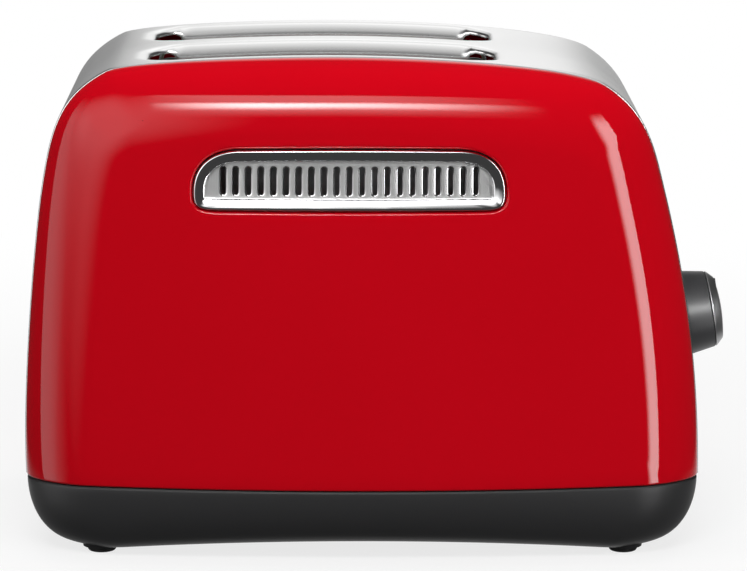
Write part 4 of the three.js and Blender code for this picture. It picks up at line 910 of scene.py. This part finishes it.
add_sheet(bm, len(outer) - 1, WALL_ROWS + LIP_ROWS, tub_place)
TRAY_HALF, TRAY_LOW, TRAY_HIGH = 48.0, 9.6, 22.0
TRAY_GAP, GLAND_HALF = 0.35, 5.2
window(bm, (None, -TRAY_HALF - TRAY_GAP, TRAY_LOW - TRAY_GAP),
       (-FAR_REACH + 24, TRAY_HALF + TRAY_GAP, TRAY_HIGH + TRAY_GAP), inward=(1.6, 0, 0))
gland_low, gland_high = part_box("cord_gland")
gland = (gland_low + gland_high) / 2 / MM
gland_x, gland_z = gland.x - SHIFT, gland.z
window(bm, (gland_x - GLAND_HALF, 60, gland_z - GLAND_HALF),
       (gland_x + GLAND_HALF, None, gland_z + GLAND_HALF), inward=(0, -2, 0))
print("faces in the skin:", len(bm.faces))

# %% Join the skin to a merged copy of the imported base
packed_base = bmesh.new()
packed_base.from_mesh(frame["nodes"]["base_tub"].data)
packed_base.transform(TO_FRAME.inverted())
bmesh.ops.remove_doubles(packed_base, verts=packed_base.verts, dist=WELD)
copy = bpy.data.meshes.new("base_floor_copy")
packed_base.to_mesh(copy)
packed_base.free()
bmesh.ops.remove_doubles(bm, verts=bm.verts, dist=WELD)
bmesh.ops.recalc_face_normals(bm, faces=bm.faces)
skin = bpy.data.meshes.new("base_skin")
bm.to_mesh(skin)
bm.free()
bm = bmesh.new()
bm.from_mesh(skin)
bm.from_mesh(copy)
settle(bm, "moulded_base", black_base, "housing", ["base_tub"], 32)

# %% [markdown]
# ## The crumb tray's front
#
# The tray pulls out at the far end. Its front is a piece of the same curved wall with a fine gap
# all round and softened edges, and a shallow finger hollow under its top edge. It could be cut out
# of the base, but as a grid of its own its edges can be drawn round: each extrusion of the rim
# steps a little further out and back, until a quarter circle is full.

# %% Shape the tray's front
def end_wall(z):
    """How far the base's end wall stands from the middle at a height."""
    rise = min(1.0, (RIM - z) / (RIM - FLOOR))
    tuck = 1 - math.sqrt(1 - rise ** 2)
    return -(FAR_REACH - BASE_STEP) * (1 - TUCK_ENDS * tuck / FAR_REACH)


bm = bmesh.new()
TRAY_SOFT, TRAY_COLUMNS, TRAY_ROWS = 0.8, 40, 12
HOLLOW_DEPTH, HOLLOW_HALF, HOLLOW_Z, HOLLOW_HIGH = 1.3, 15, 18.2, 2.6
rows_z = np.linspace(TRAY_LOW + TRAY_SOFT, TRAY_HIGH - TRAY_SOFT, TRAY_ROWS + 1)
rows_y = np.linspace(-TRAY_HALF + TRAY_SOFT, TRAY_HALF - TRAY_SOFT, TRAY_COLUMNS + 1)


def tray_face(i, j):
    y, z = rows_y[i], rows_z[j]
    hollow = math.exp(-(y / HOLLOW_HALF) ** 4) * math.exp(-((z - HOLLOW_Z) / HOLLOW_HIGH) ** 2)
    return Vector((end_wall(z) + HOLLOW_DEPTH * hollow, y, z))


add_sheet(bm, TRAY_COLUMNS, TRAY_ROWS, tray_face)
rim = [e for e in bm.edges if e.is_boundary]
for k in range(1, 5):
    turn = math.pi / 2 * k / 4
    drawn = bmesh.ops.extrude_edge_only(bm, edges=rim)["geom"]
    rim = [e for e in drawn if isinstance(e, bmesh.types.BMEdge) and e.is_boundary]
    for corner in [v for v in drawn if isinstance(v, bmesh.types.BMVert)]:
        y = min(max(corner.co.y, rows_y[0]), rows_y[-1])
        z = min(max(corner.co.z, rows_z[0]), rows_z[-1])
        out_y = 0 if abs(y) < rows_y[-1] - 1e-6 else math.copysign(1, y)
        out_z = 0 if rows_z[0] < z < rows_z[-1] else (1 if z >= rows_z[-1] else -1)
        grow = TRAY_SOFT * math.sin(turn)
        x = end_wall(z) + TRAY_SOFT * (1 - math.cos(turn))
        corner.co = Vector((x, y + out_y * grow, z + out_z * grow))
drawn = bmesh.ops.extrude_edge_only(bm, edges=rim)["geom"]
bmesh.ops.translate(bm, vec=(1.4, 0, 0), verts=[v for v in drawn if isinstance(v, bmesh.types.BMVert)])
bmesh.ops.holes_fill(bm, edges=[e for e in bm.edges if e.is_boundary])
settle(bm, "tray_front", black_base, "tray", ["crumb_tray_front"], 50)

# %% [markdown]
# ## The feet
#
# Four turned rubber feet carry the toaster. Their lower edge is rounded and the sole is slightly
# hollow, so they sit on a ring. A cylinder with a bevel would give the edge but not the hollow, so
# half of the section is drawn and spun about its axis.

# %% Spin a section
def turned(bm, profile, steps, place=Matrix.Identity(4)):
    """Spins a profile of (along, radius) about the X axis and puts it in place."""
    corners = [bm.verts.new((along, 0, radius)) for along, radius in profile]
    edges = [bm.edges.new(pair) for pair in zip(corners, corners[1:])]
    bmesh.ops.spin(bm, geom=corners + edges, cent=(0, 0, 0), axis=(1, 0, 0), angle=2 * math.pi,
                   steps=steps, use_merge=True)
    whole = [v for v in bm.verts if not v.tag]
    bmesh.ops.transform(bm, matrix=place, verts=whole)
    for corner in bm.verts:
        corner.tag = True


# %% Turn the feet
foot_profile = soften([(0.25, 0.0), (0.25, 3.6), (0.0, 4.4), (0.0, 5.4), (0.7, 6.0), (1.9, 6.0),
                       (1.9, 2.5), (5.8, 2.5), (5.8, 0.0)], 0.5, 4)
for i, (low, high) in enumerate(feet, 1):
    bm = bmesh.new()
    middle = (low + high) / 2
    stand = Matrix.Translation((middle.x / MM - SHIFT, middle.y / MM, 0))
    turned(bm, foot_profile, 48, stand @ Matrix.Rotation(-math.pi / 2, 4, "Y"))
    settle(bm, f"rubber_foot_{i}", rubber, "housing", [f"foot_{i}"], 40)

# %% [markdown]
# ## The dial
#
# The browning dial is a black skirt that flares towards the wall and a metal cap with a bevelled
# edge and a slightly domed face. It is spun like the feet, but about the joint's own axis, so that it
# runs true: an end wall that leans would otherwise make it wobble. The pointer is a small bevelled
# bar in the cap.

# %% Turn the dial
def joint_place(name, at=None):
    """A matrix whose X axis is the joint's, at its place or at a given point, in sizes of the body."""
    joint = next(j for j in frame["joints"] if j["name"] == name)
    along = Vector(joint["axis"]).normalized()
    spot = Vector(joint["pos_m"]) if at is None else at
    across = Vector((0, 1, 0))
    turn = Matrix((along, across, along.cross(across))).transposed().to_4x4()
    return Matrix.Translation((spot.x / MM - SHIFT, spot.y / MM, spot.z / MM)) @ turn


dial_place = joint_place("dial_turn")
SKIRT_LIFT, SKIRT_DEPTH, SKIRT_BASE, SKIRT_FRONT, SKIRT_WALL, DIAL_STEPS = 0.6, 11.0, 17.9, 16.2, 1.6, 96
CAP_FACE, CAP_DOME, CAP_REACH = 3.7, 1.2, 12.6
front = SKIRT_LIFT + SKIRT_DEPTH
bm = bmesh.new()
skirt = [(front, 0), (front, SKIRT_FRONT), (SKIRT_LIFT + 1.1, SKIRT_BASE), (SKIRT_LIFT, SKIRT_BASE),
         (SKIRT_LIFT, SKIRT_BASE - SKIRT_WALL), (front - SKIRT_WALL, SKIRT_FRONT - SKIRT_WALL),
         (front - SKIRT_WALL, 5.5), (SKIRT_LIFT, 5.5), (SKIRT_LIFT, 3.3), (front - 3.2, 3.3),
         (front - 3.2, 0)]
turned(bm, soften(skirt, 0.5, 4), DIAL_STEPS, dial_place)
settle(bm, "dial_skirt", black_smooth, "browning_dial", ["dial_knob"], 40)

bm = bmesh.new()
cap = [(front + 0.2, 0), (front + 0.2, SKIRT_FRONT - 0.35), (front + 0.55, SKIRT_FRONT - 0.05),
       (front + 3.5, 13.25), (front + CAP_FACE, CAP_REACH)]
dome = [(front + CAP_FACE + CAP_DOME * (1 - (r / CAP_REACH) ** 2), r) for r in (11, 9, 7, 5, 3, 1.5, 0)]
turned(bm, soften(cap, 0.3, 4) + dome, DIAL_STEPS, dial_place)
settle(bm, "dial_cap_face", cap_steel, "browning_dial", ["dial_cap"], 40)

bm = bmesh.new()
pointer = Matrix.Translation((front + 3.75, 0, 10.1)) @ Matrix.Diagonal((1.0, 1.3, 5.4, 1))
bmesh.ops.create_cube(bm, size=1, matrix=dial_place @ pointer)
bmesh.ops.bevel(bm, geom=bm.edges[:], offset=0.3, segments=3, profile=0.5, affect="EDGES", material=-1)
settle(bm, "dial_pointer", black_smooth, "browning_dial", [], 40)

# %% [markdown]
# ## Buttons, lens and the dial's scale
#
# Three small buttons stand in the end wall under the dial. Each is a turned plug with a shallow
# hollow for the finger, and the lens is a little dome: all four are spun about an axis that stands
# square on the wall. Raised bars round the dial show how dark the toast gets. They could be printed
# on with a texture, but bars of bevelled cubes catch the light as moulded marks do.

# %% Turn the buttons
BUTTON_Z = 54.0
plug = soften([(1.15, 0), (1.2, 1.2), (1.35, 2.6), (1.6, 3.5), (1.2, 4.25), (0.6, 4.4), (-1.95, 4.4),
               (-1.95, 5.6), (-2.95, 5.6), (-2.95, 2.0), (-7.6, 2.0), (-7.6, 0)], 0.3, 3)
for name in ("cancel", "defrost", "reheat"):
    low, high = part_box(f"button_{name}")
    x = arch_at(arch_at_height(BUTTON_Z))[0]
    spot = Vector(((x + SHIFT) * MM, (low.y + high.y) / 2, BUTTON_Z * MM))
    bm = bmesh.new()
    turned(bm, plug, 48, joint_place(f"{name}_press", spot) @ Matrix.Rotation(math.pi, 4, "Z"))
    settle(bm, f"{name}_button", black_smooth, name, [f"button_{name}"], 40)

# %% Turn the lens and raise the scale
LENS_Z, DIAL_Y, DIAL_Z, SCALE_MARKS, SCALE_REACH = 124.0, -22.0, 93.5, 7, 20.6


def on_end_wall(z, y):
    """A matrix whose X axis stands square on the end wall."""
    x, z, nx, nz = arch_at(arch_at_height(z))
    along, across = Vector((-nx, 0, -nz)), Vector((0, 1, 0))
    turn = Matrix((along, across, along.cross(across))).transposed().to_4x4()
    return Matrix.Translation((x, y, z)) @ turn


bm = bmesh.new()
turned(bm, [(0.75, 0), (0.68, 1.0), (0.45, 1.8), (0.05, 2.4), (-1.5, 2.4), (-1.5, 3.4), (-2.5, 3.4),
            (-2.5, 2.4), (-6.0, 2.4), (-6.0, 0)], 40, on_end_wall(LENS_Z, DIAL_Y))
settle(bm, "pilot_lens", amber, "housing", ["indicator_lens"], 45)

bm = bmesh.new()
for k in range(SCALE_MARKS):
    angle = math.radians(-135 + 45 * k)
    tall = 2.2 if k % 2 else 3.6
    spot = Vector((0, math.sin(angle), math.cos(angle))) * (SCALE_REACH + tall / 2)
    mark = on_end_wall(DIAL_Z + spot.z, DIAL_Y + spot.y) @ Matrix.Rotation(-angle, 4, "X")
    bmesh.ops.create_cube(bm, size=1, matrix=mark @ Matrix.Diagonal((0.24, 0.9, tall, 1)))
bmesh.ops.bevel(bm, geom=bm.edges[:], offset=0.1, segments=2, profile=0.5, affect="EDGES", material=-1)
settle(bm, "dial_scale", black_smooth, "housing", [], 40)

# %% [markdown]
# ## The lever
#
# The handle is a soft rounded block with a hollow on top for the finger. It slides in a black frame
# let into the band. Both are sheets of quads: the handle is a rounded rectangle that swells and
# closes again along its depth, and the frame is a ring that rolls over from its outside to the slot.

# %% Shape the handle and its frame
HANDLE_WIDE, HANDLE_HIGH, HANDLE_BACK, HANDLE_FACE, HANDLE_ROUND = 22.0, 18.0, 143.2, 152.0, 4.2
HANDLE_LEAN, FINGER_DEPTH, FINGER_HALF, CORNER_STEPS = 0.10, 0.9, 7.0, 8


def rounded(width, height, corner):
    """Places round a rounded rectangle, as (across, up)."""
    ring = []
    for quarter, (sx, sy) in enumerate(CORNERS):
        cx, cy = sx * (width / 2 - corner), sy * (height / 2 - corner)
        ring += [(cx + corner * math.cos(a), cy + corner * math.sin(a))
                 for a in np.linspace(quarter, quarter + 1, CORNER_STEPS + 1) * math.pi / 2]
        # then along the straight side, to where the next corner starts
        nx, ny = CORNERS[(quarter + 1) % 4]
        level = quarter % 2 == 0
        end = (nx * (width / 2 - (corner if level else 0)), ny * (height / 2 - (0 if level else corner)))
        ring += [(ring[-1][0] + (end[0] - ring[-1][0]) * t, ring[-1][1] + (end[1] - ring[-1][1]) * t)
                 for t in (0.25, 0.5, 0.75)]
    return ring + ring[:1]


bm = bmesh.new()
# from the back of the handle to its face: how far along, and how much of its full size
depth_shares = [(0.0, 0.0), (0.0, 0.55), (0.03, 0.80), (0.12, 0.93), (0.3, 0.985), (0.55, 1.0),
                (0.74, 0.985), (0.88, 0.94), (0.96, 0.86), (0.99, 0.72), (1.0, 0.4), (1.0, 0.0)]
face_ring = rounded(HANDLE_WIDE, HANDLE_HIGH, HANDLE_ROUND)


def handle_place(i, j):
    along, size = depth_shares[j]
    x = HANDLE_BACK + (HANDLE_FACE - HANDLE_BACK) * along
    across, up = face_ring[i]
    lean = HANDLE_LEAN * up * along
    on_top = up > HANDLE_HIGH / 2 - HANDLE_ROUND - 0.1
    hollow = FINGER_DEPTH * math.exp(-(across / FINGER_HALF) ** 4) * along * size if on_top else 0
    return Vector((x - lean, LEVER_Y + across * size, LEVER_Z + up * size - hollow))


add_sheet(bm, len(face_ring) - 1, len(depth_shares) - 1, handle_place)
settle(bm, "lever_grip", black_smooth, "lift_carriage", ["lever_handle"], 60)

# %% Shape the frame that the lever slides in
low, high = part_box("lever_slot_bezel")
BEZEL_LOW, BEZEL_HIGH, BEZEL_HALF = low.z / MM, high.z / MM, (high.y - low.y) / 2 / MM
WAY_WIDE, WAY_MARGIN = 5.0, 1.7
bm = bmesh.new()
centre = (BEZEL_LOW + BEZEL_HIGH) / 2
outside = rounded(2 * BEZEL_HALF, BEZEL_HIGH - BEZEL_LOW, 1.6)
way = rounded(WAY_WIDE, BEZEL_HIGH - BEZEL_LOW - 2 * WAY_MARGIN, 0.8)
# each row: the ring, its size as a share, and how far it stands off the wall
bezel_rows = [(outside, 1.0, -2.4), (outside, 1.0, 0.45), (outside, 0.985, 0.78), (outside, 0.955, 0.9),
              (way, 1.12, 0.9), (way, 1.04, 0.75), (way, 1.0, 0.4), (way, 1.0, -2.4)]


def bezel_place(i, j):
    ring, size, proud = bezel_rows[j]
    across, up = ring[i]
    shrink = (1 - size) * BEZEL_HALF
    across -= shrink * ((across > shrink) - (across < -shrink))
    up -= shrink * math.copysign(1, up)
    x, z, nx, nz = arch_at(arch_at_height(centre + up))
    return Vector((x - nx * proud, LEVER_Y + across, z - nz * proud))


add_sheet(bm, len(outside) - 1, len(bezel_rows) - 1, bezel_place)
settle(bm, "lever_frame", black_base, "housing", ["lever_slot_bezel"], 45)

# %% [markdown]
# ## Wires and the lift spring
#
# Bread guides are cages of bent wire. A curve with a round section is the easiest wire there is, so
# each cage is drawn as a few curves and then made a mesh. The lift spring is drawn the same way, as
# one long helix with closed ends; the share of its length that it would keep with the lever down is worked
# out.

# %% Helpers for wire
BEND_STEPS = 6


def wire_mesh(name, paths, radius):
    """A bmesh of round wires that follow the paths."""
    curve = bpy.data.curves.new(name, "CURVE")
    curve.dimensions = "3D"
    curve.bevel_depth = radius * MM
    curve.bevel_resolution = 3
    curve.use_fill_caps = True
    for path in paths:
        spline = curve.splines.new("POLY")
        spline.points.add(len(path) - 1)
        for point, place in zip(spline.points, path):
            point.co = (*(TO_FRAME @ Vector(place)), 1)
    holder = bpy.data.objects.new(name + "_curve", curve)
    bpy.context.scene.collection.objects.link(holder)
    bpy.context.view_layer.update()
    mesh = bpy.data.meshes.new_from_object(holder.evaluated_get(bpy.context.evaluated_depsgraph_get()))
    bpy.data.objects.remove(holder)
    bm = bmesh.new()
    bm.from_mesh(mesh)
    return bm


def bent(points, radius):
    """A path with its corners rounded."""
    path = [Vector(points[0])]
    for before, corner, after in zip(points, points[1:], points[2:]):
        here, back, on = Vector(corner), Vector(before), Vector(after)
        start, end = here + (back - here).normalized() * radius, here + (on - here).normalized() * radius
        path += [start.lerp(here, t).lerp(here.lerp(end, t), t) for t in np.linspace(0, 1, BEND_STEPS + 1)]
    return path + [Vector(points[-1])]


# %% Bend the bread guides
GUIDE_FOOT, GUIDE_HEAD, GUIDE_ROD, GUIDE_WIRE, FRAME_WIRE = 38.0, 197.7, 1.1, 0.8, 1.0
GUIDE_HOOK, GUIDE_BEND, GUIDE_BARS, GUIDE_RUNGS = 7, 6.0, 6, (90.0, 142.0)
x0, x1 = SLOT_X - SLOT_LONG / 2 + GUIDE_ROD, SLOT_X + SLOT_LONG / 2 - GUIDE_ROD
guides = {"front_outer": -49.0, "front_inner": -13.0, "back_inner": 13.0, "back_outer": 49.0}
for name, y in guides.items():
    low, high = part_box(f"bread_guide_{name}")
    corners = [(x0 + GUIDE_HOOK, GUIDE_FOOT), (x0, GUIDE_FOOT), (x0, GUIDE_HEAD), (x1, GUIDE_HEAD),
               (x1, GUIDE_FOOT), (x1 - GUIDE_HOOK, GUIDE_FOOT)]
    frame_wire = bent([(x, y, z) for x, z in corners], GUIDE_BEND)
    pivot = [(low.x / MM - SHIFT, y, GUIDE_FOOT), (high.x / MM - SHIFT, y, GUIDE_FOOT)]
    bm = wire_mesh(name, [frame_wire, pivot], FRAME_WIRE)
    bars = [[(x, y, GUIDE_FOOT), (x, y, GUIDE_HEAD)] for x in np.linspace(x0, x1, GUIDE_BARS)[1:-1]]
    bars += [[(x0, y, z), (x1, y, z)] for z in GUIDE_RUNGS]
    thin = wire_mesh(name + "_bars", bars, GUIDE_WIRE)
    extra = bpy.data.meshes.new(name + "_bars")
    thin.to_mesh(extra)
    thin.free()
    bm.from_mesh(extra)
    settle(bm, f"wire_cage_{name}", wire_chrome, f"guide_{name}", [f"bread_guide_{name}"], 50,
           in_frame=True)

# %% Wind the lift spring
low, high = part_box("lift_spring")
middle = (low + high) / 2
spring_x, spring_low, spring_high = middle.x / MM - SHIFT, low.z / MM, high.z / MM
WIRE, COIL, CURLS, CURL_STEPS = 0.6, 4.6, 9, 32
helix = []
for k in range(CURLS * CURL_STEPS + 1):
    curl = k / CURL_STEPS
    rise = float(np.interp(curl, [0, 0.9, CURLS - 0.9, CURLS], [0, 0.025, 0.975, 1]))
    angle = 2 * math.pi * curl
    helix.append((spring_x + COIL * math.cos(angle), COIL * math.sin(angle),
                  spring_low + WIRE + (spring_high - spring_low - 2 * WIRE) * rise))
bm = wire_mesh("lift_spring_wire", [helix], WIRE)
spring = settle(bm, "lift_spring_coil", wire_chrome, "housing", ["lift_spring"], 50, in_frame=True)
keep = (spring_high - spring_low - LEVER_TRAVEL) / (spring_high - spring_low)
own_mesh(spring)
print("the spring keeps", round(keep, 3), "of its length with the lever down")

# %% [markdown]
# ## Finishes for the solids that stay
#
# The inner plates, racks, cards and electrical pieces are right as packed: flat sheet and small
# blocks gain little from more modelling, and one hardly sees them down the slots. Their meshes are
# left alone and only get a finish.

# %% Dress the inner pieces
def dress(name, finish):
    materials = frame["nodes"][name].data.materials
    materials.clear()
    materials.append(finish.material)


inner = {
    sheet: ["chassis_plate_control", "chassis_plate_far", "heat_shield_front", "heat_shield_back",
            "guide_rod", "bread_rack_front", "bread_rack_back", "carriage_bracket", "armature_plate",
            "lever_arm", "dial_shaft", "dial_potentiometer", "board_bracket", "magnet_core", "crumb_tray",
            "base_screw_1", "base_screw_2", "base_screw_3", "base_screw_4"],
    winding: ["magnet_coil"],
    lacquer: ["circuit_board"],
    cream: ["relay", "terminal_block"],
    black_base: ["main_switch", "cord_gland"],
}
for finish, names in inner.items():
    for name in names:
        dress(name, finish)
for name in ("heater_front", "heater_middle", "heater_back"):
    low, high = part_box(name)
    dress(name, heater_card(f"mineral_card_{name}", (low.y + high.y) / 2))
print("dressed", sum(len(names) for names in inner.values()) + 3, "solids")

# %% [markdown]
# ## The floor
#
# The toaster stands on white. A white floor under the lamps would throw light up on the black base
# and lie as a pale sheet in the mirror of the enamel, so the floor's own colour is grey for all light
# but the camera's. The camera sees it nearly white, and further off it goes over into plain white by
# emission, so that no horizon shows. Mirrors see white in it behind the toaster and nothing in front
# of it or far to the sides, where a studio would be dark.

# %% Lay the floor
def eased(recipe, value, start, end, bottom=0.0, top=1.0):
    """Goes softly from bottom to top while the value goes from start to end."""
    return recipe.node("ShaderNodeMapRange", {"interpolation_type": "SMOOTHSTEP"}, {
        "Value": value, "From Min": start, "From Max": end, "To Min": bottom, "To Max": top})


def ray_kinds(recipe):
    """Whether the ray comes from the camera, from gloss or from something clear."""
    return [recipe.node("ShaderNodeLightPath", {}, {}, f"Is {kind} Ray")
            for kind in ("Camera", "Glossy", "Transmission")]


floor_finish = Finish("pale_floor", Roughness=0.9, Specular_IOR_Level=0.0)
spot = floor_finish.here()
camera_ray, glossy_ray, clear_ray = ray_kinds(floor_finish)
sideways, forward = floor_finish.parts(spot, "XY")
away = floor_finish.node("ShaderNodeVectorMath", {"operation": "LENGTH"}, {0: spot}, "Value")
front = eased(floor_finish, forward, 0.05, -0.1)
beside = eased(floor_finish, sideways * sideways, 0.03, 0.10)
far_off = eased(floor_finish, away, 0.18, 0.7, 0.78, 1.0)
floor_finish.feed("Base Color", floor_finish.between(camera_ray, (0.20, 0.20, 0.20), (0.95, 0.95, 0.95)))


def blend(recipe, factor, first, second):
    return recipe.node("ShaderNodeMixShader", {}, {0: factor, 1: first, 2: second}, "Shader")


white = floor_finish.node("ShaderNodeEmission", {}, {}, "Emission")
nothing = floor_finish.node("ShaderNodeBsdfTransparent", {}, {}, "BSDF")
painted = Value(floor_finish, floor_finish.shader.outputs[0])
pale = blend(floor_finish, camera_ray * far_off + glossy_ray + clear_ray, painted, white)
surface = blend(floor_finish, glossy_ray * (1 - (1 - front) * (1 - beside)), pale, nothing)
floor_finish.tree.links.new(surface.socket, floor_finish.tree.nodes["Material Output"].inputs["Surface"])

bm = bmesh.new()
bmesh.ops.create_grid(bm, x_segments=1, y_segments=1, size=4)
ground = bpy.data.meshes.new("ground")
bm.to_mesh(ground)
bm.free()
ground.materials.append(floor_finish.material)
floor = bpy.data.objects.new("ground", ground)
bpy.context.scene.collection.objects.link(floor)
print("floor laid, 8 m square")

# %% [markdown]
# ## The world
#
# The world gives a low even light, and it is also what smooth metal and enamel mirror. An image of a
# studio is the usual answer. A few soft ramps on the direction do the same here: a pale backdrop
# behind the toaster, greyer towards its sides, and one bright patch at the left in front that shows
# in the chrome. The camera, and anything clear, sees plain white.

# %% Set the world
AMBIENT, DARKEST = 0.17, 0.05
world = bpy.data.worlds.new("studio")
world.use_nodes = True
bpy.context.scene.world = world
studio = Recipe(world.node_tree, "Background")
studio.shader.inputs["Color"].default_value = (1, 1, 1, 1)


def larger(first, second):
    return studio.node("ShaderNodeMath", {"operation": "MAXIMUM"}, {0: first, 1: second})


direction = studio.node("ShaderNodeTexCoord", {}, {}, "Generated")
side, ahead, up = studio.parts(direction, "XYZ")
camera_ray, glossy_ray, clear_ray = ray_kinds(studio)
behind = 1.0 - eased(studio, side, -0.02, -0.14, 0.0, 0.63) - eased(studio, side, 0.10, 0.15, 0.0, 0.42)
backdrop = behind * eased(studio, ahead, 0.05, 0.6) * (1 - eased(studio, up, 0.42, 0.72)) * (
    1 - eased(studio, side * side, 0.04, 0.12))
towards = studio.node("ShaderNodeVectorMath", {"operation": "DOT_PRODUCT"}, {
    0: direction, 1: Vector((-0.60, -0.72, 0.34)).normalized()}, "Value")
mirrored = larger(larger(backdrop, DARKEST), eased(studio, towards, 0.86, 0.99, 0.0, 1.9))
seen = larger(camera_ray, clear_ray)
studio.feed("Strength", AMBIENT + (1 - AMBIENT) * seen + glossy_ray * (mirrored - AMBIENT))
print("world set, even light", AMBIENT)

# %% [markdown]
# ## The lamps
#
# Soft boxes light the toaster, and each is a highlight in the enamel too: a wide one and a narrow one
# above the front draw the band along the upper edge, and a tall one on either side draws the upright
# streaks. Real soft boxes dim towards their edges, so every lamp fades there. The brushed steel takes
# much more light than the enamel for the same look. Rather than one lamp that is wrong for both, light
# linking gives the steel two lamps of its own, and the dial one.

# %% Helpers for lamps
def area(name, place, target, size, power, fade=(0.02, 0.02, 0.02, 0.02), roll=0):
    """A soft box: fade is the share of its face over which each edge (left, right, low, high) dims."""
    light = bpy.data.lights.new(name, "AREA")
    light.shape, light.size, light.size_y, light.energy = "RECTANGLE", *size, power
    light.use_nodes = True
    face = Recipe(light.node_tree, "Emission")
    over, up = face.parts(face.node("ShaderNodeNewGeometry", {}, {}, "Parametric"), "XY")
    left, right, low, high = fade
    face.feed("Strength", eased(face, over, 0, left) * eased(face, over, 1, 1 - right)
              * (eased(face, up, 0, low) * eased(face, up, 1, 1 - high)))
    lamp = bpy.data.objects.new(name, light)
    lamp.location = place
    lamp.visible_camera = False
    aim = (Vector(target) - Vector(place)).to_track_quat("-Z", "Y")
    lamp.rotation_euler = (aim @ Quaternion((0, 0, 1), math.radians(roll))).to_euler()
    bpy.context.scene.collection.objects.link(lamp)
    return lamp


def only(lamp, *pieces, leave_out=False):
    """Lets a lamp light these pieces alone, or all but these."""
    receivers = bpy.data.collections.new(lamp.name + "_pieces")
    lamp.light_linking.receiver_collection = receivers
    for piece in pieces:
        receivers.objects.link(bpy.data.objects[piece])
    for link in receivers.collection_objects:
        link.light_linking.link_state = "EXCLUDE" if leave_out else "INCLUDE"


# %% Hang the lamps
overhead = area("overhead", (0, 0.25, 1.5), (0, 0, 0.1), (1.5, 0.9), 10.5)
overhead.visible_glossy = False
wide_box = area("front_top", (-0.037, -0.78, 0.772), (-0.02, -0.09, 0.19), (0.85, 0.44), 4,
                (0.34, 0.44, 0.4, 0.06), 8)
narrow_box = area("front_tube", (-0.007, -0.78, 0.768), (-0.007, -0.09, 0.19), (0.79, 0.17), 12,
                  (0.31, 0.68, 0.65, 0.3), 8)
area("left_panel", (-1.242, -0.568, 0.2), (-0.1, -0.06, 0.1), (0.91, 2.0), 10, (0.03, 0.75, 0.02, 0.3))
area("right_strip", (1.035, -0.99, 0.2), (0.1, -0.06, 0.1), (0.34, 2.0), 20, (0.45, 0.03, 0.02, 0.2))
over_steel = area("over_steel", (0.35, -0.5, 1.2), (0.35, 0, 0.2), (1.9, 4.4), 28, (0.2, 0.2, 0.85, 0.30))
back_steel = area("back_steel", (0, 1.25, 1.55), (0, 0, 0.2), (1.6, 2.1), 10, (0.2, 0.2, 0.48, 0.41))
beside_dial = area("beside_dial", (0.537, -0.872, 0.432), (0.14, -0.02, 0.09), (0.5, 0.16), 24,
                   (0.3, 0.3, 0.3, 0.3))
for lamp in (wide_box, narrow_box):
    only(lamp, "brushed_band", leave_out=True)
for lamp in (over_steel, back_steel):
    only(lamp, "brushed_band")
only(beside_dial, "dial_skirt", "dial_cap_face")

# %% [markdown]
# ## The camera
#
# The photograph was taken from the front with a long lens, a little above the toaster. The tilt and
# the distance belong together: the near and far edge of the band, and the widths of the two bread
# slots, fit only one pair of them. The photograph is cropped a little off its middle, and a small
# sideways shift of the lens gives that.

# %% Place the camera
CAMERA_TILT = 11.203  # degrees down
camera_data = bpy.data.cameras.new("camera")
camera_data.lens, camera_data.sensor_width = 182.56, 36
camera_data.shift_x = 0.0517
camera = bpy.data.objects.new("camera", camera_data)
camera.location = (-0.01787, -1.6085, 0.4196)
aim = camera.location + Vector((0, 1, -math.tan(math.radians(CAMERA_TILT))))
camera.rotation_euler = (aim - camera.location).to_track_quat("-Z", "Y").to_euler()
bpy.context.scene.collection.objects.link(camera)
bpy.context.scene.camera = camera
bpy.context.scene.view_settings.view_transform = "Standard"
print("camera tilt, degrees:", round(math.degrees(camera.rotation_euler.x) - 90, 2))
